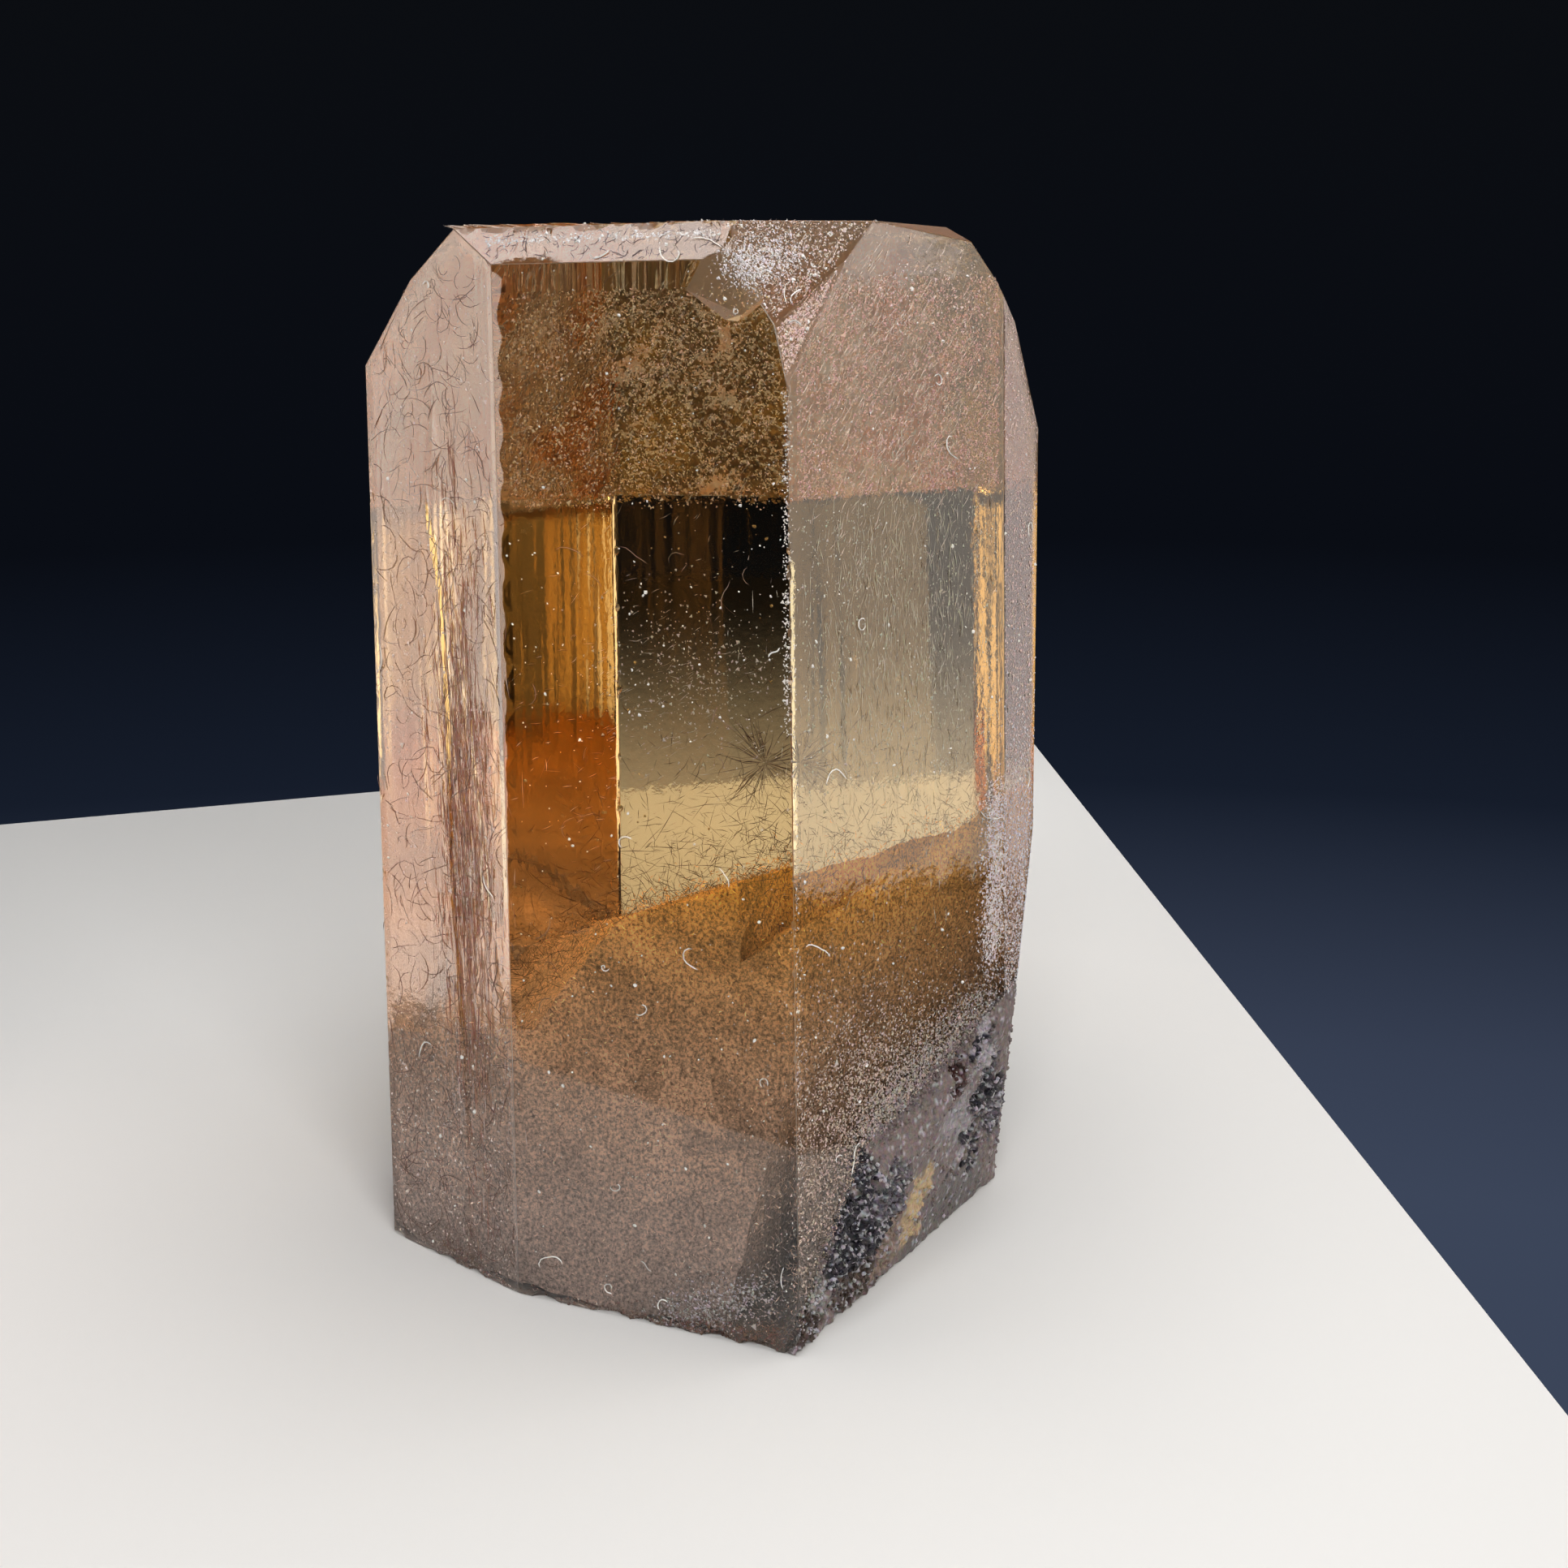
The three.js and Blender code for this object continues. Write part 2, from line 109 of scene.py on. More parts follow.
# Threads around the lumps: down to some way under their tops, and in a skin of some depth.
CLOUD_THREADS = {
    "near_threads": {
        "count": 28000, "length": (0.06, 0.2), "radius": (0.008, 0.014), "under": 99, "skin": 0.35,
    },
    "fringe_threads": {
        "count": 16000, "length": (0.08, 0.24), "radius": (0.007, 0.012), "under": 0.3, "skin": 30,
    },
}
THREAD_REACH = 0.14  # how fast the threads thin out over the lumps
# Dark needles, densest some way over the lumps and close behind the front, with one star of them.
NEEDLES = {
    "count": 2800, "length": (0.2, 0.28), "longest": 1.4, "radius": (0.005, 0.01),
    "over": 0.5, "spread": 1.3, "under": 0.4, "fade": 3.5, "tint": (0.06, 0.025, 0.02),
    "star_at": (-0.95, 12.8, -1.2), "star_rays": 90, "ray_length": (0.5, 1.6),
}
DUST_SPECK = 0.018
DUST_TINT = (0.9, 0.88, 0.84)
LINT = {"lift": 0.03, "lengths": (0.3, 1.0), "radii": (0.01, 0.018), "points": 9, "curl": 0.35}
# How far things on a face may stick out past its edges, the room that they keep from them, and how
# far they drop onto the mesh.
OVERHANG = 0.045
EDGE_ROOM = 0.03
DROP = 2.5
# Specks and curls of lint on each face.
DUST_COUNTS = {
    "m_front": (420, 14), "l_front": (380, 12), "l_left": (140, 5), "u_front": (50, 3),
    "corner_high": (60, 3), "corner_low": (40, 2), "side_right": (60, 2), "b_left": (80, 4),
    "b_right": (80, 4), "m_back": (120, 5), "l_back": (120, 5), "c_top": (60, 4),
}
# Frosted places, and dark bands of painted shade along the foot: how they lie on a face, where, how
# many flakes, and their colour.
FROST_AND_SHADE_FLAKE = 0.021
FROST_AND_FOOT_SHADE = (
    ("around", "m_front", (-0.8, 23.3), (0.35, 0.3), 1500, (0.85, 0.8, 0.82)),
    ("around", "corner_high", (-0.3, 22.6), (0.5, 0.4), 400, (0.8, 0.74, 0.72)),
    ("along", "u_front", (-7.2, 21.55), (-1.6, 21.6), 0.05, 500, (0.95, 0.93, 0.93)),
    ("along", "m_front", (-0.1, 13.5), (-0.04, 20.7), 0.05, 400, (0.85, 0.8, 0.75)),
    ("along", "l_front", (0.1, 2.5), (0.05, 20.7), 0.07, 400, (0.8, 0.72, 0.65)),
    ("along", "m_front", (-3.4, 0.5), (-0.6, 1.3), 0.3, 1200, (0.42, 0.38, 0.38)),
    # The next two are painted shade: dark bands along the foot, where the stone sits on the floor.
    ("along", "m_front", (-6.9, 0.25), (-0.3, 0.35), 0.15, 2200, (0.14, 0.08, 0.06)),
    ("along", "l_left", (-9.3, 1.2), (-6.9, 0.4), 0.2, 1000, (0.16, 0.1, 0.08)),
    ("along", "l_front", (2.2, 4.3), (6.9, 6.7), 0.4, 4500, (0.38, 0.33, 0.31)),
    ("around", "l_front", (3.6, 5.6), (1.5, 1.0), 4000, (0.52, 0.42, 0.36)),
    ("around", "l_front", (1.4, 3.8), (1.2, 2.0), 5500, (0.62, 0.47, 0.4)),
    ("along", "l_front", (7.0, 7.6), (7.2, 11.6), 0.25, 3400, (0.72, 0.64, 0.64)),
    ("over", "side_right", 6500, (0.68, 0.52, 0.48)),
    ("around", "side_right", (8.6, 8.5), (1.0, 2.6), 6000, (0.7, 0.68, 0.74)),
    ("over", "shoulder_right_low", 1400, (0.8, 0.72, 0.76)),
    ("over", "corner_high", 1100, (0.7, 0.58, 0.53)),
    ("over", "corner_low", 900, (0.75, 0.56, 0.5)),
    ("along", "l_front", (1.0, 22.6), (7.0, 22.4), 0.5, 700, (0.75, 0.6, 0.55)),
    ("within", "l_front", (0.3, 7.3), (18.4, 23.0), 11000, (0.6, 0.38, 0.31)),
    ("within", "l_front", (4.6, 7.3), (18.3, 23.0), 1500, (0.5, 0.34, 0.28)),
    ("within", "l_front", (0.4, 7.2), (12.0, 18.3), 2500, (0.5, 0.47, 0.38)),
    ("within", "m_front", (-6.6, -0.4), (18.2, 22.8), 3000, (0.5, 0.31, 0.16)),
    ("around", "m_front", (-2.2, 14.6), (1.3, 1.0), 800, (0.38, 0.31, 0.23)),
    ("over", "l_left", 4500, (0.8, 0.66, 0.6)),
)
# Brown stains under the back faces of the head: face, number of flakes and two colours.
STAIN = {"flake": 0.045, "depths": (0.02, 0.4), "gaps": (-1.5, 0.1), "shades": (0.7, 1.15)}
STAINS = (
    ("l_head_back", 31000, (1.0, 0.76, 0.66), (1.0, 0.5, 0.26)),
    ("m_head_back", 20000, (0.6, 0.52, 0.46), (1.0, 0.82, 0.55)),
)
# Fine dashes: face, centre and spread on it, number, lean in degrees from across, longest length,
# radius and colour. The long ones keep closer to their lean.
LONG_DASH = 0.6
DASH_SCATTER = {"long": 3, "short": 14}
DASHES = (
    ("m_front", (-3.0, 20.9), (1.9, 1.3), 600, 50, 0.4, 0.006, (0.5, 0.38, 0.25)),
    ("m_front", (-3.0, 13.6), (1.6, 1.6), 300, 20, 0.35, 0.006, (0.46, 0.38, 0.3)),
    ("l_front", (3.6, 20.8), (2.0, 1.5), 1500, 48, 0.5, 0.008, (0.86, 0.7, 0.6)),
    ("l_front", (3.8, 15.0), (1.8, 2.2), 1300, 90, 0.6, 0.009, (0.66, 0.62, 0.5)),
    ("l_front", (3.8, 14.5), (1.8, 2.4), 500, 90, 0.5, 0.008, (0.14, 0.11, 0.08)),
    ("corner_high", (0.0, 22.5), (1.2, 0.9), 500, 45, 0.35, 0.007, (0.8, 0.66, 0.58)),
    ("corner_low", (1.5, 21.5), (1.0, 1.2), 400, 45, 0.35, 0.007, (0.8, 0.66, 0.58)),
    ("l_left", (-8.1, 12.0), (0.4, 3.6), 900, 92, 1.3, 0.015, (0.34, 0.14, 0.09)),
    ("l_left", (-7.7, 10.0), (0.45, 3.0), 700, 92, 1.1, 0.013, (0.42, 0.22, 0.15)),
    ("l_left", (-8.0, 10.5), (0.6, 3.6), 500, 92, 0.9, 0.01, (0.75, 0.6, 0.56)),
)
# Cracks: face, number, longest length and colour.
CRACK = {"lift": 0, "radii": (0.0055, 0.011), "points": 6, "curl": 0.3}
CRACKS = (
    ("l_left", 900, 1.3, (0.15, 0.08, 0.06)),
    ("u_front", 160, 0.4, (0.14, 0.1, 0.11)),
    ("m_front", 40, 0.8, (0.2, 0.12, 0.08)),
    ("b_left", 200, 0.6, (0.3, 0.19, 0.15)),
)
CRUST = {
    "root": 0.08, "sunk": 0.05, "mesh": 0.12, "grid": (0.075, 0.075), "lumps": 0.2, "grit": 0.14,
    "grains": 2600, "grain_size": (0.02, 0.075), "rim_grains": 420, "rim_spread": 0.16,
    "rim_grain_size": (0.015, 0.05), "lowest_grain": 0.12, "overhang": 0.05,
    # The next two give pale specks, more where it is gritty: painted glints.
    "painted_glint_tint": (0.46, 0.44, 0.48), "painted_glint_share": 0.22,
}
# Kinds of surface on the crust: colour, and how gritty it is.
CRUST_LOOKS = {
    "haze": ((0.19, 0.15, 0.145), 0.15),
    "lilac": ((0.3, 0.27, 0.29), 0.2),
    "pale": ((0.42, 0.39, 0.42), 0.6),
    "black": ((0.03, 0.028, 0.036), 1.0),
    "rusty": ((0.05, 0.02, 0.018), 0.8),
    "flecked": ((0.11, 0.1, 0.115), 1.0),
    "smooth": ((0.14, 0.122, 0.12), 0.12),
    "ochre": ((0.5, 0.36, 0.21), 0.3),
    "beige": ((0.26, 0.19, 0.155), 0.5),
    "brown": ((0.07, 0.047, 0.038), 0.8),
    "crumbs": ((0.27, 0.25, 0.235), 0.8),
}
# Patches of them: place and size across and up the crust's face, in millimetres.
CRUST_PATCHES = (
    ("smooth", 7.6, 1.5, 1.9, 1.1),
    ("smooth", 6.3, 0.8, 1.4, 0.8),
    ("lilac", 6.2, 4.0, 1.0, 0.6),
    ("flecked", 3.0, 2.5, 1.2, 1.1),
    ("black", 2.2, 3.2, 0.5, 0.8),
    ("black", 1.8, 2.5, 0.8, 0.9),
    ("black", 2.5, 2.0, 1.1, 0.8),
    ("black", 1.6, 1.7, 0.6, 0.6),
    ("brown", 2.7, 0.8, 1.3, 0.6),
    ("beige", 3.9, 1.5, 0.45, 0.8),
    ("ochre", 5.05, 2.2, 0.6, 0.9),
    ("crumbs", 0.6, 1.3, 0.6, 0.55),
    ("brown", 0.3, 0.5, 0.9, 0.5),
    ("black", 6.6, 5.8, 0.6, 0.2),
    ("pale", 6.6, 6.15, 0.5, 0.25),
    ("pale", 7.2, 5.35, 0.6, 0.3),
    ("rusty", 5.6, 5.1, 0.4, 0.4),
    ("pale", 6.4, 5.15, 0.35, 0.25),
    ("black", 7.7, 4.4, 1.0, 0.5),
    ("flecked", 7.5, 4.8, 0.6, 0.2),
    ("black", 7.3, 3.5, 0.6, 0.3),
    ("pale", 7.0, 2.9, 0.5, 0.3),
    ("black", 8.0, 2.6, 0.4, 0.4),
    ("flecked", 8.9, 3.6, 0.8, 0.9),
)

# ---- Materials ----

REFRACTION = 1.62
ABSORPTION = (0.006, 0.025, 0.066)  # per millimetre, in red, green and blue
# Fine grain of the materials: grains per metre, and the depth of their bumps in metres.
ETCHED_GRAIN = {"Scale": 5000, "Detail": 3}
MOTTLE = {"Scale": 9000}
TURBID_GRAIN = {"Scale": 13000, "Detail": 3, "Roughness": 0.7}
TURBID_CONTRAST = {"From Min": 0.35, "From Max": 0.65, "To Min": 0.35, "To Max": 1.7}
GRIT = {"Scale": 14000, "Detail": 4}
ETCHED_DEPTH = 0.00002
GRIT_DEPTH = 0.00006

# ---- The stone ----

# The unit cell of topaz, in angstroms.
AXIS_A = 4.65
AXIS_B = 8.8
AXIS_C = 8.4
AXIS_TURN = 2.9  # degrees that the a axis points to the right of the front
LEAN_BACK = 9  # degrees that the c axis leans away from the front
LEAN_LEFT = 0.74  # degrees that the c axis leans to the left
BACK_HEAD_HEIGHT = 17.9

# Faces by Miller indices, and by distance from the foot of the front edge or by the height at which
# they meet the edge of the two back faces. "flare" tips a face down, in degrees.
INDEXED_FACES = {
    "m_front": {"hkl": (1, -1, 0), "distance": 0.0, "style": "clear"},
    "l_front": {"hkl": (1, 2, 0), "distance": 0.0, "style": "hazy"},
    "l_left": {"hkl": (1, -2, 0), "distance": 2.23, "style": "etched"},
    "b_left": {"hkl": (0, -1, 0), "distance": 9.15, "style": "striated"},
    "side_right": {"hkl": (1, 4, 0), "distance": 2.32, "style": "milky"},
    "b_right": {"hkl": (0, 1, 0), "distance": 5.85, "flare": 1.1, "style": "milky"},
    "m_back": {"hkl": (-1, 1, 0), "distance": 17.35, "style": "back"},
    "l_back": {"hkl": (-1, -2, 0), "distance": 13.65, "style": "back"},
    "u_front": {"hkl": (1, -1, 1), "distance": 10.27, "style": "etched"},
    "c_top": {"hkl": (0, 0, 1), "distance": 24.15, "style": "etched"},
    "m_head_back": {"hkl": (-2, 2, 3), "height": BACK_HEAD_HEIGHT, "style": "head_back"},
    "l_head_back": {"hkl": (-1, -2, 1), "height": BACK_HEAD_HEIGHT, "style": "head_back"},
}
# Worn shoulders and corners by azimuth, from the front to the right, and polar angle from c.
WORN_FACES = {
    "shoulder_left_low": (-87.1, 82, 12.03),
    "shoulder_left": (-87.1, 58.3, 18.94),
    "shoulder_left_top": (-87.1, 45.4, 21.91),
    "shoulder_right_low": (92.9, 73.3, 11.58),
    "shoulder_right": (92.9, 59.7, 15.84),
    "shoulder_right_top": (92.9, 52.6, 17.86),
    "top_slope": (70, 18.5, 23.23),
    "corner_high": (22.6, 63, 9.81),
    "corner_low": (34.9, 79.2, 3.89),
    "break_bevel": (85, 96.2, 3.84),
}
# The face of the broken corner, given in the same way, and the notch in it that holds the crust: its
# rim on the right front face, the slope of its walls in degrees, and its depth.
CRUST_FACE = (63.6, 107.1, -0.03)
BED_RIM = ((0, 0.4), (2.2, 4), (6.6, 6.2))
BED_SLOPE = 50
BED_DEPTH = 1.3
EDGE_WEAR = 0.025  # width of the worn strip along an edge
LONGEST_EDGE = 0.6  # of the mesh, along the outline of a face
EDGE_FADE = 0.15  # how near the outline of a face its relief fades out
SHARP_ANGLE = 14  # degrees
# How well a polygon of the mesh fits the plane that it lies on: cosine and distance.
SAME_WAY = 0.9998
SAME_PLANE = 2e-3
ON_FACE = 1e-3  # how near a face a corner counts as lying on it
SAME_POINT = 1e-4
ROUNDING = 1e-6
NO_CORNER = 1e-5  # three planes whose directions span less than this share no corner

# The ledge on the left face, as places across and up it from its top down, and the upper right
# end and slope of the line that bounds the streaks beside it.
LEFT_LEDGE = ((-8.77, 20.7), (-9.05, 18.3), (-8.62, 16.2), (-8.5, 13.6), (-8.48, 9.2), (-8.2, 5))
LEDGE_TOP = 19.5
LEDGE_DEPTH = 0.06
LEDGE_WIDTH = 0.06
STREAK_EDGE = ((-8.13, 16.7), 0.137)
STREAK_HEIGHT = 0.014

# How each style of surface is worked: spacing of the mesh across and up, height of the growth
# steps, height of the fine striae, roughness, and strength of the etched grain.
Style = namedtuple("Style", "grid steps striae rough etch")
STYLES = {
    "clear": Style((0.3, 0.5), 0.0, 0.0008, 0.02, 0.0),
    "hazy": Style((0.12, 0.45), 0.0, 0.003, 0.03, 0.1),
    "etched": Style((0.05, 0.3), 0.02, 0.002, 0.12, 0.35),
    "striated": Style((0.15, 0.45), 0.02, 0.006, 0.15, 0.4),
    "milky": Style((0.15, 0.45), 0.01, 0.004, 0.14, 0.4),
    "back": Style((0.09, 0.45), 0.012, 0.006, 0.04, 0.15),
    "head_back": Style((0.25, 0.25), 0.01, 0.003, 0.4, 0.15),
    "worn": Style((0.3, 0.3), 0.0, 0.0, 0.35, 0.6),
    "base": Style((0.4, 0.4), 0.0, 0.0, 0.5, 1.0),
    "broken": Style((0.4, 0.4), 0.0, 0.0, 0.4, 0.7),
}


def unit(v):
    return v / np.linalg.norm(v)


def direction(azimuth, polar):
    """Outward direction, in the fit frame, from the crystal's own angles in degrees."""
    a, p = math.radians(azimuth), math.radians(polar)
    own = Vector((math.sin(a) * math.sin(p), -math.cos(a) * math.sin(p), math.cos(p)))
    lean = Matrix.Rotation(-math.radians(LEAN_BACK), 3, "X")
    roll = Matrix.Rotation(-math.radians(LEAN_LEFT), 3, "Y")
    return np.array(lean @ roll @ own)


LONG_AXIS = direction(0, 0)


def indexed_direction(h, k, l, flare=0.0):
    front, right, up = h / AXIS_A, k / AXIS_B, l / AXIS_C
    azimuth = math.degrees(math.atan2(right, front)) + AXIS_TURN
    polar = math.degrees(math.atan2(math.hypot(front, right), up)) + flare
    return direction(azimuth, polar)


class Face:
    """A plane with its own right and up directions, as seen from outside."""

    def __init__(self, name, normal, distance, style):
        self.name = name
        self.normal = normal
        self.distance = distance
        self.style = style
        self.plane = (normal, distance)
        side = np.cross(LONG_AXIS, normal)
        self.right = unit(side if np.linalg.norm(side) > 0.2 else np.array([1.0, 0, 0]))
        self.up = np.cross(normal, self.right)

    def point(self, across, up, out=0.0):
        return self.normal * (self.distance + out) + self.right * across + self.up * up

    def flat(self, points):
        """Where points lie across and up the face."""
        return points @ self.right, points @ self.up

    def depth(self, points):
        """How far points lie behind the face."""
        return self.distance - points @ self.normal


def make_faces():
    faces = {"base": Face("base", np.array([0.0, 0, -1]), 0.0, "base")}
    for name, spec in INDEXED_FACES.items():
        normal = indexed_direction(*spec["hkl"], spec.get("flare", 0.0))
        if "distance" in spec:
            distance = spec["distance"]
        else:
            height = (LONG_AXIS, spec["height"])
            distance = normal @ meet(faces["m_back"].plane, faces["l_back"].plane, height)
        faces[name] = Face(name, normal, distance, spec["style"])
    for name, (azimuth, polar, distance) in WORN_FACES.items():
        faces[name] = Face(name, direction(azimuth, polar), distance, "worn")
    return faces


def crust_face(sunk=0.0):
    """The face of the broken corner, where the crust lies."""
    azimuth, polar, distance = CRUST_FACE
    return Face("crust", direction(azimuth, polar), distance - sunk, "broken")


def meet(*planes):
    """The point that three planes share. A plane is a (normal, distance) everywhere here."""
    normals, distances = zip(*planes)
    return np.linalg.solve(np.array(normals), np.array(distances))


def behind(points, planes, margin=0.0):
    """Which points lie at least a margin behind all planes."""
    normals, distances = zip(*planes)
    return (points @ np.array(normals).T <= np.array(distances) - margin).all(axis=-1)


def corners_of(planes):
    """Corners of the convex solid behind all planes."""
    normals, distances = (np.array(values) for values in zip(*planes))
    three = np.array(list(itertools.combinations(range(len(planes)), 3)))
    three = three[np.abs(np.linalg.det(normals[three])) > NO_CORNER]
    corners = np.linalg.solve(normals[three], distances[three][..., None])[..., 0]
    return corners[behind(corners, planes, -ROUNDING)]


def hull(points):
    bm = bmesh.new()
    for point in points:
        bm.verts.new(point)
    bmesh.ops.remove_doubles(bm, verts=bm.verts, dist=SAME_POINT)
    result = bmesh.ops.convex_hull(bm, input=bm.verts)
    loose = [v for v in result["geom_interior"] if isinstance(v, bmesh.types.BMVert)]
    bmesh.ops.delete(bm, geom=loose, context="VERTS")
    bm.normal_update()
    return bm


def adjacent_faces(faces):
    """Pairs of faces that share an edge of the solid."""
    bm = hull(corners_of([f.plane for f in faces]))
    pairs = set()
    for edge in bm.edges:
        sides = [owner_of(faces, polygon) for polygon in edge.link_faces]
        if None not in sides and sides[0] is not sides[1]:
            pairs.add(tuple(sorted(faces.index(s) for s in sides)))
    bm.free()
    return [(faces[a], faces[b]) for a, b in sorted(pairs)]


def owner_of(faces, polygon):
    """The face that a polygon of a mesh lies on, if any."""
    normal = np.array(polygon.normal)
    centre = np.array(polygon.calc_center_median())
    for face in faces:
        if face.normal @ normal > SAME_WAY and abs(face.depth(centre)) < SAME_PLANE:
            return face
    return None


def worn_edge(a, b, width):
    """The narrow plane that takes the sharpness off the edge of two faces."""
    total = a.normal + b.normal
    size = np.linalg.norm(total)
    half = math.acos(min(1.0, size / 2))
    depth = width / 2 * math.tan(half)
    return Face("edge", total / size, (a.distance + b.distance) / size - depth, "worn")


def add_object(name, corners, polygons, material):
    """An object in the scene, from corners in millimetres from the foot of the front edge."""
    mesh = bpy.data.meshes.new(name)
    mesh.from_pydata(((np.array(corners) + FOOT) * MM).tolist(), [], polygons)
    mesh.update()
    mesh.materials.append(material)
    made = bpy.data.objects.new(name, mesh)
    bpy.context.scene.collection.objects.link(made)
    return made


# ---- Repeatable noise ----


def lattice(x, y, seed):
    """A number from -1 to 1 for each whole-numbered place."""
    n = (x.astype(np.int64) * 374761393 + y.astype(np.int64) * 668265263 + seed * 974634777)
    n = (n ^ (n >> 13)) * 1274126177
    n = (n ^ (n >> 16)) & 0xFFFFFF
    return n / 8388607.5 - 1


def noise(x, y, seed=0):
    x0, y0 = np.floor(x), np.floor(y)
    fx, fy = x - x0, y - y0
    fx, fy = fx * fx * (3 - 2 * fx), fy * fy * (3 - 2 * fy)
    low = lattice(x0, y0, seed) * (1 - fx) + lattice(x0 + 1, y0, seed) * fx
    high = lattice(x0, y0 + 1, seed) * (1 - fx) + lattice(x0 + 1, y0 + 1, seed) * fx
    return low * (1 - fy) + high * fy


def layers(across, up, *rows):
    """The sum of layers of noise, each given by its strength, its frequency and its seed."""
    return sum(strength * noise(across * often, up * often, seed) for strength, often, seed in rows)


def terraces(value, count):
    """Turns a smooth rise into flat treads with steep risers."""
    scaled = value * count
    tread = np.floor(scaled)
    riser = np.clip((scaled - tread - 0.75) / 0.25, 0, 1)
    return (tread + riser) / count


# ---- The crystal's mesh ----


def growth_relief(face, across, up):
    """Height of growth steps and striae over a face, in millimetres, never above it."""
    style = STYLES[face.style]
    seed = sum(map(ord, face.name))
    wander = 0.35 * noise(up * 0.12, across * 0.2, seed + 1)
    steps = terraces(noise((across + wander) * 0.8, up * 0.05, seed + 2), 4)
    fine = noise((across + wander) * 3.1, up * 0.16, seed + 3)
    finest = noise((across + wander) * 7.3, up * 0.3, seed + 4)
    relief = style.steps * (steps - 1) + style.striae * (fine + 0.5 * finest - 1.5)
    if face.name == "l_left":
        relief = relief + left_face_relief(across, up)
    return relief


def left_face_relief(across, up):
    """The curved ledge of the left face, and the strong streaks to its right."""
    ledge = np.interp(-up, [-u for _, u in LEFT_LEDGE], [a for a, _ in LEFT_LEDGE])
    offset = across - ledge
    grown = np.clip((LEDGE_TOP - up) / 2, 0, 1)
    groove = -LEDGE_DEPTH * grown * np.exp(-((offset / LEDGE_WIDTH) ** 2))
    (edge_across, edge_up), slope = STREAK_EDGE
    right = edge_across + slope * (edge_up - up)
    zone = np.clip(offset / 0.1, 0, 1) * np.clip((right - across) / 0.2, 0, 1)
    streaks = noise(across * 6.5 + noise(up * 0.3, across, 77), up * 0.22, 78)
    streaks += 0.5 * noise(across * 13, up * 0.5, 79)
    return groove + zone * STREAK_HEIGHT * (streaks - 1.5)


def bed_planes(faces, clearance, outward):
    """The notch that holds the crust, as planes."""
    front, floor = faces["l_front"], crust_face()
    planes = [(-floor.normal, BED_DEPTH - floor.distance - clearance)]
    slope = math.radians(BED_SLOPE)
    for start, end in zip(BED_RIM, BED_RIM[1:]):
        origin = front.point(*start)
        along = unit(front.point(*end) - origin)
        wall = np.cross(front.normal, along) * math.sin(slope) - front.normal * math.cos(slope)
        planes.append((wall, wall @ origin - clearance))
    for face in faces.values():
        planes.append((face.normal, face.distance + (0 if face.name == "base" else outward)))
    return planes


def flake(point, outward, radius, bite, random):
    """A shell-shaped cutter that bites into the surface at a point."""
    bm = bmesh.new()
    bmesh.ops.create_icosphere(bm, subdivisions=2, radius=radius)
    turn = Vector((0, 0, 1)).rotation_difference(Vector(outward)).to_matrix()
    stretch = 1 + random.uniform(0, 0.8)
    for vertex in bm.verts:
        bump = 1 + 0.05 * random.standard_normal()
        own = Vector((vertex.co.x * stretch, vertex.co.y, vertex.co.z)) * bump
        vertex.co = turn @ own + Vector(point + outward * (radius - bite))
    return bm


def nicks(a, b, start, end, count, radius, bite, seed, skip=0.0):
    """Flakes along the edge of two faces, between two other faces."""
    random = np.random.default_rng(seed)
    first, last = meet(a.plane, b.plane, start.plane), meet(a.plane, b.plane, end.plane)
    outward = unit(a.normal + b.normal)
    cutters = []
    for i in range(count):
        step = skip + (1 - skip) * (i + random.uniform(0.1, 0.9)) / count
        point = first + (last - first) * step
        size, depth = random.uniform(*radius), random.uniform(*bite)
        cutters.append(flake(point, outward, size, depth, random))
    return cutters


def crystal_cutters(f):
    random = np.random.default_rng(5)
    rim = {"radius": (0.15, 0.4), "bite": (0.04, 0.12)}
    wear = {"radius": (0.1, 0.28), "bite": (0.02, 0.06)}
    foot = {"radius": (0.35, 0.8), "bite": (0.06, 0.18)}
    chip = f["m_front"]
    cutters = [
        flake(chip.point(-0.95, 23.25), chip.normal, 1.7, 0.3, random),
        flake(f["corner_high"].point(-0.3, 22.6), f["corner_high"].normal, 1.2, 0.09, random),
    ]
    runs = [
        ("u_front", "c_top", "l_left", "corner_high", 14, rim, 0),
        ("l_front", "c_top", "corner_high", "shoulder_right_top", 10, rim, 0),
        ("l_left", "b_left", "base", "shoulder_left_low", 22, wear, 0),
        ("m_front", "l_front", "base", "corner_low", 16, wear, 0.3),
        ("m_back", "l_back", "base", "m_head_back", 8, wear, 0),
        ("m_back", "b_right", "base", "m_head_back", 6, rim, 0),
        ("l_back", "c_top", "shoulder_left_top", "m_head_back", 6, rim, 0),
        ("m_front", "base", "l_left", "l_front", 9, foot, 0),
        ("l_left", "base", "b_left", "m_front", 5, foot, 0),
        ("l_back", "base", "b_left", "m_back", 9, foot, 0),
        ("m_back", "base", "l_back", "b_right", 7, foot, 0),
    ]
    for seed, (a, b, start, end, count, size, skip) in enumerate(runs, 21):
        cutters += nicks(f[a], f[b], f[start], f[end], count, seed=seed, skip=skip, **size)
    cutters.append(hull(corners_of(bed_planes(f, 0, 1))))
    return cutters


def solid(bm):
    """An object from a mesh that is being built."""
    mesh = bpy.data.meshes.new("solid")
    bm.to_mesh(mesh)
    bm.free()
    made = bpy.data.objects.new("solid", mesh)
    bpy.context.scene.collection.objects.link(made)
    return made


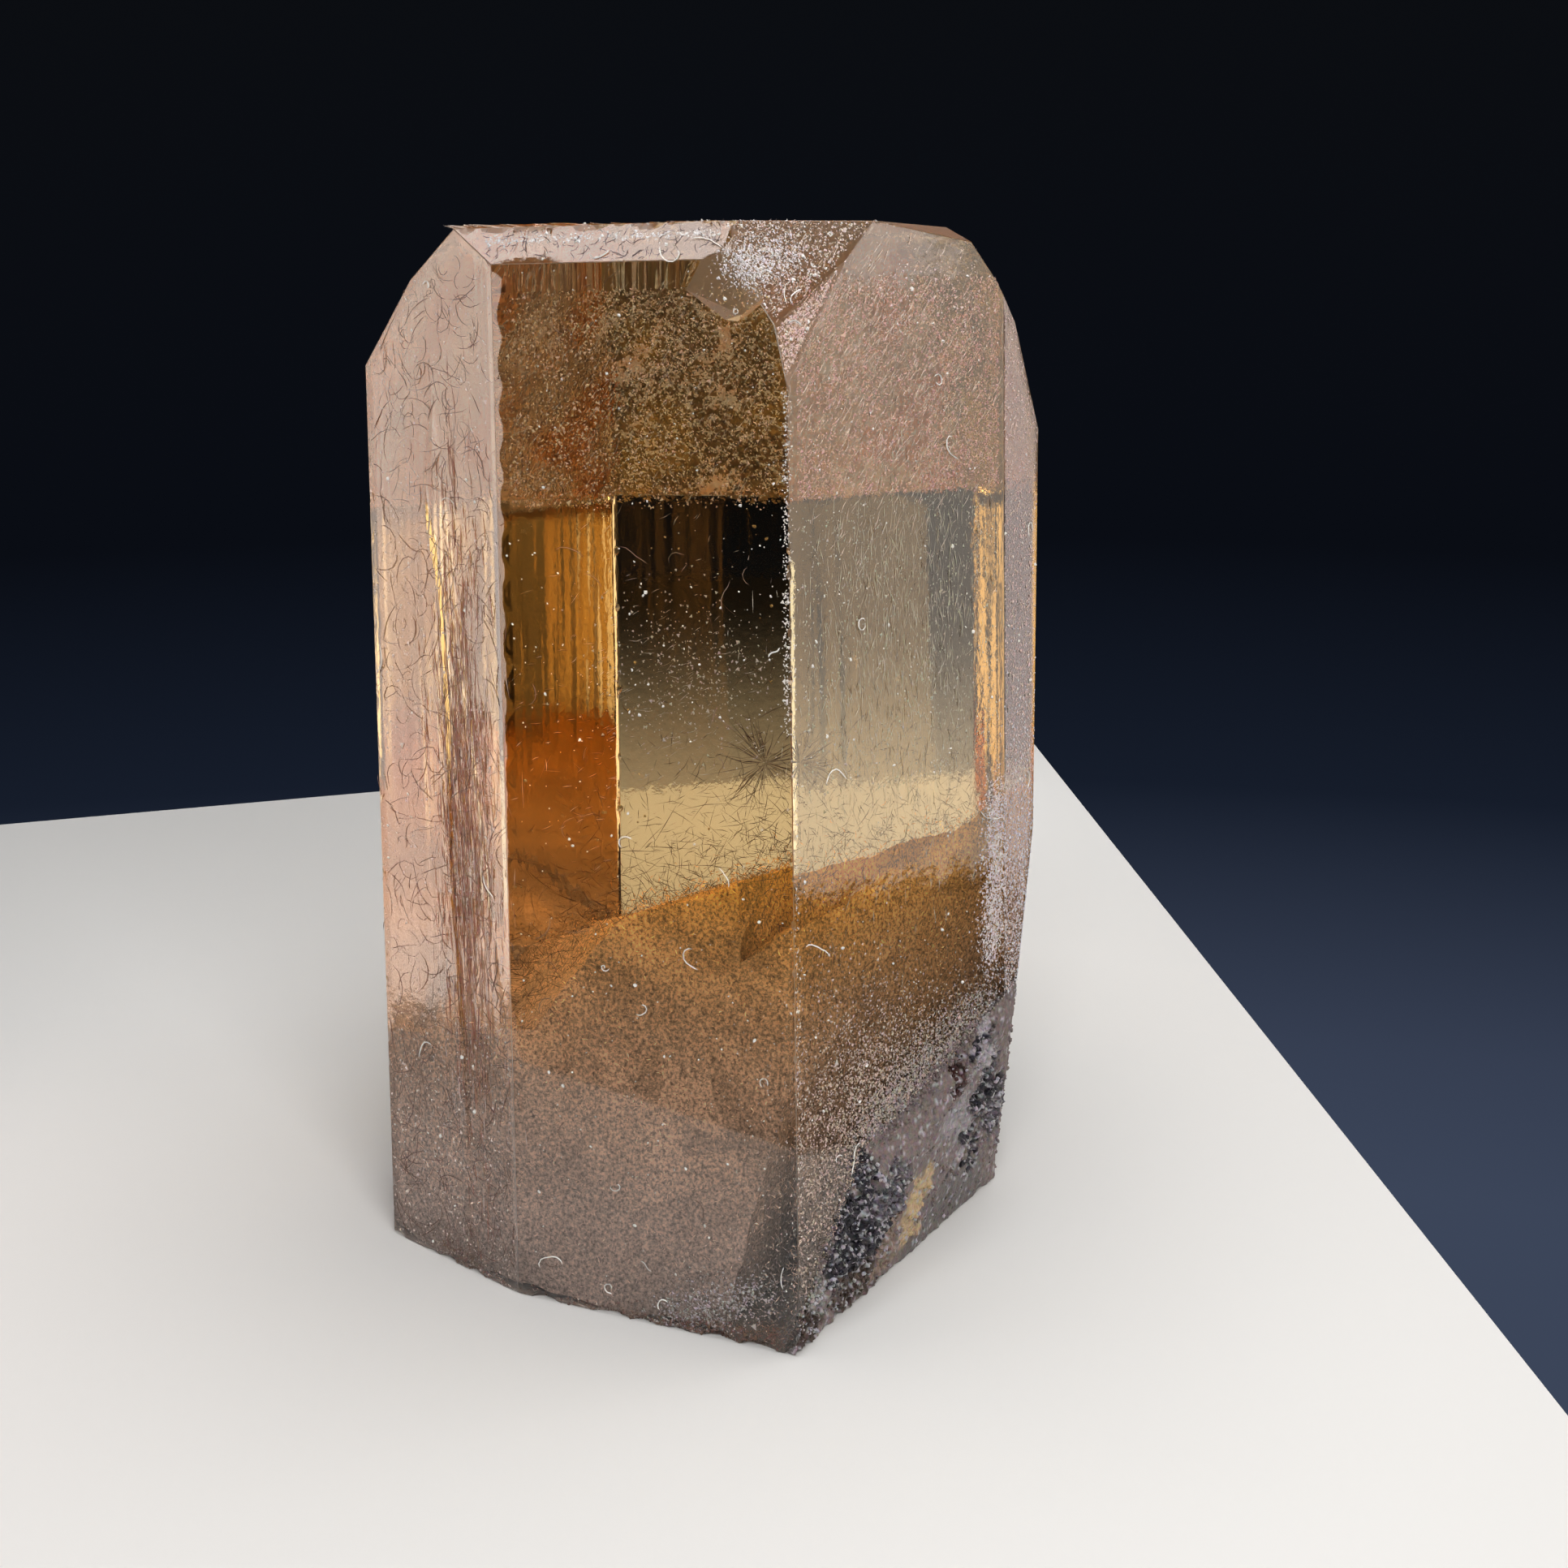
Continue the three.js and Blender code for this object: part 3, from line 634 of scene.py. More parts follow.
def cut(body, cutters):
    """Takes the cutters out of a solid, one after another."""
    target = solid(body)
    tools = [solid(cutter) for cutter in cutters]
    for tool in tools:
        modifier = target.modifiers.new("cut", "BOOLEAN")
        modifier.operation = "DIFFERENCE"
        modifier.solver = "MANIFOLD"
        modifier.object = tool
    evaluated = target.evaluated_get(bpy.context.evaluated_depsgraph_get())
    result = bmesh.new()
    result.from_mesh(evaluated.to_mesh())
    for made in [target, *tools]:
        mesh = made.data
        bpy.data.objects.remove(made)
        bpy.data.meshes.remove(mesh)
    return result


def split_long_edges(bm, longest):
    for _ in range(8):
        long = [e for e in bm.edges if e.calc_length() > longest]
        if not long:
            return
        bmesh.ops.subdivide_edges(bm, edges=long, cuts=1)


def inside_outline(points, starts, ends):
    """Which points lie inside closed outlines, by counting crossings to the right."""
    inside = np.zeros(len(points), bool)
    for (x0, y0), (x1, y1) in zip(starts, ends):
        between = (y0 > points[:, 1]) != (y1 > points[:, 1])
        if y0 == y1:
            continue
        crossing = x0 + (points[:, 1] - y0) * (x1 - x0) / (y1 - y0)
        inside ^= between & (points[:, 0] < crossing)
    return inside


def distance_to_outline(points, starts, ends):
    nearest = np.full(len(points), 1e9)
    for start, end in zip(starts, ends):
        along = end - start
        length = max(along @ along, 1e-12)
        t = np.clip(((points - start) @ along) / length, 0, 1)
        nearest = np.minimum(nearest, np.linalg.norm(points - start - t[:, None] * along, axis=1))
    return nearest


def grid_inside(flat, starts, ends, grid):
    """Places of a staggered grid inside an outline, and how far from it they lie."""
    low, high = flat.min(0), flat.max(0)
    u = np.arange(low[0] + grid[0] / 2, high[0], grid[0])
    v = np.arange(low[1] + grid[1] / 2, high[1], grid[1])
    nodes = [(x + (grid[0] / 2 if k % 2 else 0), y) for k, y in enumerate(v) for x in u]
    nodes = np.array(nodes).reshape(-1, 2)
    nodes = nodes[inside_outline(nodes, starts, ends)]
    gap = distance_to_outline(nodes, starts, ends)
    kept = gap > 0.3 * grid[0]
    return nodes[kept], gap[kept]


def refine_face(face, grid, starts, ends, vertices, relief):
    """Fills a face's outline with a grid fine enough for its relief.

    Returns its triangles as corners into the growing list of vertices."""
    grid = np.array(grid)
    used = sorted(set(starts) | set(ends))
    flat = np.array([face.flat(vertices[i]) for i in used])
    place = {index: k for k, index in enumerate(used)}
    edges = [(place[a], place[b]) for a, b in zip(starts, ends)]
    nodes, gap = grid_inside(flat, flat[[a for a, _ in edges]], flat[[b for _, b in edges]], grid)
    scaled = [Vector(p / grid) for p in np.vstack([flat, nodes])]
    _, _, triangles, origin, _, _ = delaunay_2d_cdt(scaled, edges, [], 0, ROUNDING)
    heights = relief(face, nodes[:, 0], nodes[:, 1]) * np.minimum(1.0, gap / EDGE_FADE)
    first = len(vertices)
    for (across, up), height in zip(nodes, heights):
        vertices.append(face.point(across, up, height))
    lookup = used + list(range(first, first + len(nodes)))
    numbered = [[origin[i][0] for i in t] for t in triangles]
    return [[lookup[i] for i in t] for t in left_of(numbered, edges)]


def refined(bm, faces, relief, grid=None):
    """A mesh with a fine grid in every face: its corners, its triangles and the face of each.

    The triangles that lie on no face come last. The grid is the style's, unless one is given."""
    loose = [polygon for polygon in bm.faces if owner_of(faces, polygon) is None]
    bmesh.ops.triangulate(bm, faces=loose)
    bm.verts.index_update()
    bm.faces.index_update()
    owner = [owner_of(faces, polygon) for polygon in bm.faces]
    vertices = [np.array(v.co) for v in bm.verts]
    triangles, owners = [], []
    for face in faces:
        starts, ends = outline_of(bm, owner, face)
        if starts:
            spacing = grid or STYLES[face.style].grid
            new = refine_face(face, spacing, starts, ends, vertices, relief)
            triangles += new
            owners += [face] * len(new)
    loose = [polygon for polygon, face in zip(bm.faces, owner) if face is None]
    triangles += [[v.index for v in polygon.verts] for polygon in loose]
    owners += [None] * len(loose)
    bm.free()
    return np.array(vertices), triangles, owners


def left_of(triangles, outline):
    """The triangles that a directed outline holds on its left."""
    owner = {}
    for number, (a, b, c) in enumerate(triangles):
        for edge in ((a, b), (b, c), (c, a)):
            owner[edge] = number
    barrier = set(outline)
    waiting = [owner[edge] for edge in outline if edge in owner]
    inside = set()
    while waiting:
        number = waiting.pop()
        if number in inside:
            continue
        inside.add(number)
        a, b, c = triangles[number]
        for edge in ((a, b), (b, c), (c, a)):
            if edge not in barrier and edge[::-1] in owner:
                waiting.append(owner[edge[::-1]])
    return [triangles[number] for number in sorted(inside)]


def crystal_mesh(faces):
    flat_faces = list(faces.values())
    edges = [worn_edge(a, b, EDGE_WEAR) for a, b in adjacent_faces(flat_faces)]
    every = flat_faces + edges
    bm = cut(hull(corners_of([f.plane for f in every])), crystal_cutters(faces))
    bmesh.ops.remove_doubles(bm, verts=bm.verts, dist=2 * SAME_POINT)
    split_long_edges(bm, LONGEST_EDGE)
    return refined(bm, every, growth_relief)


def outline_of(bm, owner, face):
    """The edges around a face, turned so that the face lies to their left."""
    starts, ends = [], []
    for polygon, own in zip(bm.faces, owner):
        if own is not face:
            continue
        for loop in polygon.loops:
            other = loop.link_loop_radial_next.face
            if owner[other.index] is not face:
                starts.append(loop.vert.index)
                ends.append(loop.link_loop_next.vert.index)
    return starts, ends


def make_crystal(faces):
    vertices, triangles, owners = crystal_mesh(faces)
    styles = [STYLES[face.style if face else "broken"] for face in owners]
    crystal = add_object("topaz", vertices, triangles, topaz_material())
    for value in ("rough", "etch"):
        layer = crystal.data.attributes.new(value, "FLOAT", "FACE")
        layer.data.foreach_set("value", [getattr(style, value) for style in styles])
    crystal.data.shade_smooth()
    crystal.data.set_sharp_from_angle(angle=math.radians(SHARP_ANGLE))
    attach(crystal, "root")
    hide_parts("topaz_crystal")
    return Skin(faces, vertices, triangles)


# ---- Grains and threads ----


def turned(shapes, random):
    """Turns each shape, an array of corners, its own way."""
    count = len(shapes)
    first = unit_rows(random.standard_normal((count, 3)))
    second = unit_rows(np.cross(first, random.standard_normal((count, 3))))
    own = np.stack([first, second, np.cross(first, second)], axis=1)
    return np.einsum("nki,nij->nkj", shapes, own)


def unit_rows(rows):
    return rows / np.maximum(np.linalg.norm(rows, axis=-1, keepdims=True), 1e-9)


def grains(centres, sizes, random, flat=1.0):
    """Angular grains: icosahedra with shifted corners."""
    bm = bmesh.new()
    bmesh.ops.create_icosphere(bm, subdivisions=1, radius=1)
    corners = np.array([v.co for v in bm.verts]) * (1, 1, flat)
    triangles = np.array([[v.index for v in f.verts] for f in bm.faces])
    bm.free()
    shapes = corners * (1 + 0.2 * random.standard_normal((len(centres), len(corners), 1)))
    vertices = centres[:, None] + turned(shapes, random) * sizes[:, None, None]
    return vertices.reshape(-1, 3), repeated(triangles, len(centres), len(corners))


def repeated(triangles, count, step):
    return (triangles + step * np.arange(count)[:, None, None]).reshape(-1, 3)


def threads(paths, radii):
    """Three-sided threads along paths of points, drawn out to a tip at both ends."""
    count, length = paths.shape[:2]
    along = unit_rows(paths[:, 2:] - paths[:, :-2])
    side = unit_rows(np.cross(along, (0.31, 0.74, 0.6)))
    other = np.cross(along, side)
    rings = []
    for angle in (0, 2 * math.pi / 3, 4 * math.pi / 3):
        rings.append(side * math.cos(angle) + other * math.sin(angle))
    inner = paths[:, 1:-1, None] + np.stack(rings, axis=2) * radii[:, None, None, None]
    inner = inner.reshape(count, -1, 3)
    vertices = np.concatenate([paths[:, :1], inner, paths[:, -1:]], axis=1)
    last = 3 * (length - 2) + 1
    triangles = []
    for k, after in ((0, 1), (1, 2), (2, 0)):
        triangles.append((0, 1 + after, 1 + k))
        triangles.append((last, last - 3 + k, last - 3 + after))
        for ring in range(length - 3):
            near, far = 1 + 3 * ring, 4 + 3 * ring
            triangles.append((near + k, near + after, far + after))
            triangles.append((near + k, far + after, far + k))
    vertices = vertices.reshape(-1, 3)
    return vertices, repeated(np.array(triangles), count, last + 1)


def bent_paths(middles, directions, lengths, bend, random):
    """Short paths of three points, bent a little in the middle."""
    half = directions * lengths[:, None] / 2
    bow = np.cross(directions, random.standard_normal(directions.shape)) * lengths[:, None] * bend
    return np.stack([middles - half, middles + bow, middles + half], axis=1)


def curly_paths(starts, face, lengths, points, curl, random):
    """Wandering paths that lie along a face."""
    heading = random.uniform(0, 2 * math.pi, len(starts))
    turn = random.normal(0, curl, len(starts))
    paths = [starts]
    for _ in range(points - 1):
        turn = turn + random.normal(0, curl * 0.6, len(starts))
        heading = heading + turn
        step = face.right * np.cos(heading)[:, None] + face.up * np.sin(heading)[:, None]
        paths.append(paths[-1] + step * (lengths / (points - 1))[:, None])
    return np.stack(paths, axis=1)


def loose_piece(name, parts, material):
    """One piece from (vertices, triangles, tint of each vertex), riding on the stone."""
    vertices = np.vstack([p[0] for p in parts])
    first = np.cumsum([0] + [len(p[0]) for p in parts[:-1]])
    triangles = np.vstack([p[1] + start for p, start in zip(parts, first)])
    tints = np.vstack([np.broadcast_to(p[2], p[0].shape) for p in parts])
    piece = add_object(name, vertices, triangles.tolist(), material)
    layer = piece.data.attributes.new("tint", "FLOAT_COLOR", "POINT")
    layer.data.foreach_set("color", np.column_stack([tints, np.ones(len(tints))]).ravel())
    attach(piece, "root")
    return piece


# ---- What the stone holds ----


def places_inside(faces, count, chance, random, margin=0.1):
    """Random places inside the stone, kept with a chance that depends on the place."""
    planes = [f.plane for f in faces.values()]
    notch = bed_planes(faces, 0.1, 1)
    corners = corners_of(planes)
    low, high = corners.min(0), corners.max(0)
    found = np.zeros((0, 3))
    while len(found) < count:
        tries = random.uniform(low, high, (count * 2, 3))
        tries = tries[behind(tries, planes, margin)]
        tries = tries[~behind(tries, notch)]
        tries = tries[random.uniform(0, 1, len(tries)) < chance(tries)]
        found = np.vstack([found, tries])
    return found[:count]


def depth_behind(faces, points):
    """How far points lie behind the nearer of the two front faces."""
    return np.min([faces[name].depth(points) for name in ("m_front", "l_front")], axis=0)


def depth_under(faces, points):
    """How far points lie under the nearest side of the stone."""
    return np.min([faces[name].depth(points) for name in INDEXED_FACES], axis=0)


def above_cloud(faces, points):
    """Height of points above the lumps of the turbid foot."""
    ahead = -CLOUD["inset"] - faces["l_front"].depth(points)
    lowest = np.full(len(points), 1e9)
    for inset, tops in CLOUD_LUMPS:
        above = [ahead + inset]
        for height, rise, fall in tops:
            above.append(points[:, 2] - height - rise * points[:, 0] + fall * points[:, 1])
        lowest = np.minimum(lowest, np.max(above, axis=0))
    return lowest


def cloud_tint(points):
    """Colour of the turbid foot: greyer towards the ground, patchy, and darkened near the ground by
    painted shade.
    """
    blend = np.clip(points[:, 2:] / CLOUD["tint_height"], 0, 1) ** CLOUD["blend"]
    tints = np.array(CLOUD["low_tint"]) * (1 - blend) + np.array(CLOUD["high_tint"]) * blend
    across, up = points[:, 0] + 0.7 * points[:, 1], points[:, 2]
    patch = layers(across, up, (1, 0.7, 3), (0.7, 2.1, 4))
    # Painted shade: darker near the ground, where the stone sits on the floor.
    shade = 1 - CLOUD["painted_ground_shade"] * np.exp(-points[:, 2:] / CLOUD["painted_shade_fade"])
    return tints * (1 + 0.3 * patch[:, None]) * shade


def cloud_planes(faces, inset, tops):
    """The planes around one lump of the turbid foot."""
    planes = [(f.normal, f.distance - CLOUD["inset"]) for n, f in faces.items() if n != "base"]
    planes.append((faces["base"].normal, -CLOUD["off_ground"]))
    floor, front = crust_face(BED_DEPTH + 2 * CLOUD["inset"]), faces["l_front"]
    planes += [floor.plane, (front.normal, front.distance - inset)]
    for height, rise, fall in tops:
        slope = np.array([-rise, fall, 1])
        planes.append((unit(slope), height / np.linalg.norm(slope)))
    return planes


def cloud_lump(planes):
    """A bumpy lump with its tints."""
    bm = hull(corners_of(planes))
    split_long_edges(bm, CLOUD["mesh"])
    bmesh.ops.triangulate(bm, faces=bm.faces)
    bm.normal_update()
    points = np.array([v.co for v in bm.verts])
    normals = np.array([v.normal for v in bm.verts])
    across, up = points[:, 0] + 0.7 * points[:, 1], points[:, 2] + points[:, 1]
    bumps = layers(across, up, (1, 1.3, 7), (0.6, 3.1, 8))
    points = points + normals * (CLOUD["bumps"] * bumps)[:, None]
    triangles = np.array([[v.index for v in f.verts] for f in bm.faces])
    bm.free()
    return points, triangles, cloud_tint(points)


def cloud_threads(faces, spec, seed):
    """Threads in the skin around the lumps, and loosely above their tops."""
    random = np.random.default_rng(seed)

    def chance(points):
        above = above_cloud(faces, points)
        loose = np.exp(-np.maximum(above, 0) / THREAD_REACH) * (above > -spec["under"])
        return loose * (depth_under(faces, points) < spec["skin"])

    middles = places_inside(faces, spec["count"], chance, random, margin=0.04)
    directions = unit_rows(random.standard_normal(middles.shape) * (1, 0.6, 1))
    lengths = random.uniform(*spec["length"], len(middles))
    radii = random.uniform(*spec["radius"], len(middles))
    vertices, triangles = threads(bent_paths(middles, directions, lengths, 0.12, random), radii)
    shade = random.lognormal(-0.1, 0.5, len(middles)).repeat(len(vertices) // len(middles))
    return vertices, triangles, cloud_tint(vertices) * shade[:, None]


def make_cloud(faces):
    material = turbid_material()
    lumps = [cloud_lump(cloud_planes(faces, *lump)) for lump in CLOUD_LUMPS]
    loose_piece("turbid_core", lumps, material)
    for seed, (name, spec) in enumerate(CLOUD_THREADS.items(), 41):
        loose_piece(name, [cloud_threads(faces, spec, seed)], material)


def make_needles(faces):
    random = np.random.default_rng(51)

    def chance(points):
        height = above_cloud(faces, points)
        near = np.exp(-np.abs(height - NEEDLES["over"]) / NEEDLES["spread"])
        fade = np.exp(-depth_behind(faces, points) / NEEDLES["fade"])
        return near * (height > -NEEDLES["under"]) * fade

    middles = places_inside(faces, NEEDLES["count"], chance, random)
    directions = unit_rows(random.standard_normal(middles.shape) * (1, 0.7, 0.8))
    shortest, spread = NEEDLES["length"]
    lengths = shortest + random.exponential(spread, len(middles))
    star = faces["m_front"].point(*NEEDLES["star_at"])
    rays = unit_rows(random.standard_normal((NEEDLES["star_rays"], 3)) * (1, 0.5, 0.8))
    reach = random.uniform(*NEEDLES["ray_length"], len(rays))
    middles = np.vstack([middles, star + rays * reach[:, None] / 2])
    directions = np.vstack([directions, rays])
    lengths = np.concatenate([np.minimum(lengths, NEEDLES["longest"]), reach])
    radii = random.uniform(*NEEDLES["radius"], len(middles))
    needles = threads(bent_paths(middles, directions, lengths, 0.05, random), radii)
    loose_piece("needles", [(*needles, NEEDLES["tint"])], tinted_material("needles", 0.4))


# ---- What lies on the stone ----


class Skin:
    """The stone's mesh, for things that lie on it."""

    def __init__(self, faces, vertices, triangles):
        self.faces = faces
        self.tree = BVHTree.FromPolygons([Vector(v) for v in vertices], triangles)
        self.corners = corners_of([face.plane for face in faces.values()])

    def held(self, paths):
        """The paths that don't stick out past an edge of the stone."""
        planes = [face.plane for face in self.faces.values()]
        return paths[behind(paths, planes, -OVERHANG).all(axis=1)]

    def settle(self, points, face, lift=0.0):
        """Drops points onto the mesh under a face; those that miss it are left out."""
        found = []
        for point in points:
            start = Vector(point + face.normal)
            hit = self.tree.ray_cast(start, Vector(-face.normal), DROP)[0]
            if hit:
                found.append(np.array(hit) + face.normal * lift)
        return np.array(found)

    def over(self, face, count, random):
        """Random places all over a face."""
        own = self.corners[np.abs(face.depth(self.corners)) < ON_FACE]
        flat = np.column_stack(face.flat(own))
        others = [f.plane for f in self.faces.values() if f is not face]
        points = np.zeros((0, 3))
        while len(points) < count:
            tries = on_face(face, random.uniform(flat.min(0), flat.max(0), (count * 2, 2)))
            points = np.vstack([points, tries[behind(tries, others, EDGE_ROOM)]])
        return points[:count]

    def around(self, face, centre, spread, count, random):
        """Random places on a face, thinning out from a centre."""
        return on_face(face, np.array(centre) + random.standard_normal((count, 2)) * spread)

    def within(self, face, across, up, count, random):
        """Places in a rectangle on a face, in bands that lean like its dashes."""
        low, high = (across[0], up[0]), (across[1], up[1])
        places = random.uniform(low, high, (count * 2, 2))
        along, beside = places.sum(1) * 0.7, (places[:, 1] - places[:, 0]) * 0.7
        bands = noise(along * 0.9, beside * 2.6, 35) + 0.6 * noise(along * 2.7, beside * 8, 36)
        return on_face(face, places[bands > random.uniform(-1.4, 0.9, len(places))][:count])

    def along(self, face, start, end, spread, count, random):
        """Random places on a face beside a line."""
        share = random.uniform(0, 1, (count, 1))
        places = np.array(start) + share * (np.array(end) - start)
        return on_face(face, places + random.normal(0, spread, (count, 2)))


def on_face(face, places):
    flat = face.normal * face.distance
    return flat + places[:, :1] * face.right + places[:, 1:] * face.up


def curls(skin, face, count, spec, lengths, random):
    """Curly threads all over a face."""
    starts = skin.settle(skin.over(face, count, random), face, spec["lift"])
    reach = random.uniform(*lengths, len(starts))
    paths = curly_paths(starts, face, reach, spec["points"], spec["curl"], random)
    paths = skin.held(paths)
    return threads(paths, random.uniform(*spec["radii"], len(paths)))


def make_dust(skin):
    """White specks and curly lint on the faces."""
    random = np.random.default_rng(61)
    parts = []
    for name, (specks, lint) in DUST_COUNTS.items():
        face = skin.faces[name]
        centres = skin.settle(skin.over(face, specks, random), face)
        sizes = DUST_SPECK * random.lognormal(0, 0.5, len(centres))
        sizes = np.minimum(sizes, 3 * DUST_SPECK)
        parts.append((*grains(centres, sizes, random, flat=0.6), DUST_TINT))
        parts.append((*curls(skin, face, lint, LINT, LINT["lengths"], random), DUST_TINT))
    loose_piece("dust", parts, tinted_material("dust", 0.8))


def laid(shapes, face, random):
    """Lays each shape flat on a face and turns it its own way."""
    turn = random.uniform(0, 2 * math.pi, (len(shapes), 1))
    first = face.right * np.cos(turn) + face.up * np.sin(turn)
    second = face.up * np.cos(turn) - face.right * np.sin(turn)
    own = np.stack([first, second, np.broadcast_to(face.normal, first.shape)], axis=1)
    return np.einsum("nki,nij->nkj", shapes, own)


def flakes(centres, sizes, random, face):
    """Tiny flakes of four triangles each, laid along a face."""
    corners = np.array([(1, 0, 0.1), (-0.5, 0.87, 0.1), (-0.5, -0.87, 0.1), (0, 0, 0.55)])
    triangles = np.array([(0, 2, 1), (0, 1, 3), (1, 2, 3), (2, 0, 3)])
    shapes = corners * (1 + 0.3 * random.standard_normal((len(centres), 4, 1)))
    vertices = centres[:, None] + laid(shapes, face, random) * sizes[:, None, None]
    return vertices.reshape(-1, 3), repeated(triangles, len(centres), 4)


def make_frost_and_foot_shade(skin):
    """Whitish bruised and etched places, and dark bands of painted shade along the foot: a haze of
    minute flakes.
    """
    random = np.random.default_rng(62)
    front, sides = [], []
    for way, name, *where, count, tint in FROST_AND_FOOT_SHADE:
        face = skin.faces[name]
        centres = skin.settle(getattr(skin, way)(face, *where, count, random), face)
        sizes = FROST_AND_SHADE_FLAKE * random.lognormal(0, 0.35, len(centres))
        parts = front if name.endswith("front") else sides
        parts.append((*flakes(centres, sizes, random, face), tint))
    material = tinted_material("frost", 0.7)
    loose_piece("frost_front", front, material)
    loose_piece("frost_sides", sides, material)


def make_stains(skin):
    """Patchy brown stains just under the surface."""
    random = np.random.default_rng(64)
    parts = []
    for name, count, tint, other in STAINS:
        face = skin.faces[name]
        places = skin.over(face, count, random)
        patch = layers(*face.flat(places), (1, 1.1, 31), (0.9, 2.9, 32))
        places = places[patch > random.uniform(*STAIN["gaps"], count)]
        depths = random.uniform(*STAIN["depths"], (len(places), 1))
        sizes = STAIN["flake"] * random.lognormal(0, 0.4, len(places))
        vertices, triangles = flakes(places - face.normal * depths, sizes, random, face)
        across, up = face.flat(places)
        mix = np.clip(0.4 + 1.5 * noise(across * 0.8, up * 0.9, 33), 0, 1)[:, None]
        tints = (np.array(tint) * (1 - mix) + np.array(other) * mix).repeat(4, axis=0)
        shade = random.uniform(*STAIN["shades"], (len(places), 1)).repeat(4, axis=0)
        parts.append((vertices, triangles, tints * shade))
    loose_piece("stains", parts, tinted_material("stains", 0.7))


def make_dashes(skin):
    """Short fine dashes that all lean one way, and dark cracks that wander."""
    random = np.random.default_rng(63)
    parts = []
    for name, centre, spread, count, angle, longest, radius, tint in DASHES:
        face = skin.faces[name]
        middles = skin.settle(skin.around(face, centre, spread, count, random), face)
        scatter = DASH_SCATTER["long" if longest > LONG_DASH else "short"]
        lean = np.radians(random.normal(angle, scatter, len(middles)))[:, None]
        directions = face.right * np.cos(lean) + face.up * np.sin(lean)
        lengths = random.uniform(0.2 * longest, longest, len(middles))
        paths = skin.held(bent_paths(middles, directions, lengths, 0.03, random))
        parts.append((*threads(paths, random.uniform(0.6 * radius, radius, len(paths))), tint))
    for name, count, longest, tint in CRACKS:
        cracks = curls(skin, skin.faces[name], count, CRACK, (0.3 * longest, longest), random)
        parts.append((*cracks, tint))
    loose_piece("dashes", parts, tinted_material("dashes", 0.6))


# ---- The crust ----


def make_crust(faces):
    random = np.random.default_rng(71)
    outer = crust_face(CRUST["sunk"])
    points, triangles, shown = crust_mesh(faces, outer)
    points = crust_relief(outer, points, triangles[:shown])
    parts = [(points, triangles, crust_tint(outer, points, random))]
    parts += crust_grains(faces, outer, points[triangles[:shown]], random)
    crust = loose_piece("crust", parts, crust_material())
    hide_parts("matrix_crust")


def crust_mesh(faces, outer):
    """The crust's corners and triangles, those that show first, and how many of them show.

    Its solid fills the notch and reaches a little into the stone."""
    bm = hull(corners_of([*bed_planes(faces, -CRUST["root"], 0), outer.plane]))
    bmesh.ops.dissolve_limit(bm, angle_limit=0.01, verts=bm.verts, edges=bm.edges)
    split_long_edges(bm, CRUST["mesh"])
    bm.normal_update()
    every = [outer, *(face for name, face in faces.items() if name != "base")]
    points, triangles, owners = refined(bm, every, flat_relief, CRUST["grid"])
    return points, np.array(triangles), len(owners) - owners.count(None)


def flat_relief(face, across, up):
    return np.zeros(len(across))


def area_normals(corners):
    """The normal of each triangle, given by its corners, as long as twice its area."""
    return np.cross(corners[:, 1] - corners[:, 0], corners[:, 2] - corners[:, 0])


def crust_relief(outer, points, shown):
    """Moves the points of the triangles that show: low lumps, and sharp grit where it is gritty."""
    cross = area_normals(points[shown])
    normals = np.zeros(points.shape)
    for k in range(3):
        np.add.at(normals, shown[:, k], cross)
    across, up = outer.flat(points)
    lumps = layers(across, up, (0.6, 1.6, 8), (0.4, 4.1, 9))
    sharp = np.abs(noise(across * 5.3, up * 5.3, 10))
    sharp += 0.6 * np.abs(noise(across * 11, up * 11, 11))
    _, grit = crust_look(across, up)
    lift = CRUST["lumps"] * (lumps - 0.4) * (0.3 + 0.7 * grit)
    lift += CRUST["grit"] * grit * (0.9 - 2 * sharp)
    moved = points + unit_rows(normals) * lift[:, None]
    moved[:, 2] = np.maximum(moved[:, 2], 0)
    return moved


def crust_look(across, up):
    """Colour and grit at places on the crust's face."""
    aside = layers(across, up, (0.3, 2.3, 5), (0.2, 7, 12))
    above = layers(across, up, (0.3, 2.3, 6), (0.2, 7, 13))
    colour, rough = CRUST_LOOKS["haze"]
    tints, grit = np.tile(colour, (len(across), 1)), np.full(len(across), rough)
    for look, middle_across, middle_up, wide, high in CRUST_PATCHES:
        colour, rough = CRUST_LOOKS[look]
        far = np.hypot((across + aside - middle_across) / wide, (up + above - middle_up) / high)
        share = np.clip((1.1 - far) / 0.25, 0, 1)
        tints = tints * (1 - share[:, None]) + np.array(colour) * share[:, None]
        grit = grit * (1 - share) + rough * share
    return tints, grit


def crust_tint(outer, points, random):
    """The crust's colour at points, speckled where it is gritty, with pale specks of painted glint.
    """
    tints, grit = crust_look(*outer.flat(points))
    speckle = 1 + (random.uniform(-0.6, 0.6, len(points))) * (0.2 + 0.8 * grit)
    # Pale specks, more where it is gritty: painted glints.
    pale = random.uniform(0, 1, len(points)) < CRUST["painted_glint_share"] * (0.25 + 0.75 * grit)
    return np.where(pale[:, None], CRUST["painted_glint_tint"], tints * speckle[:, None])


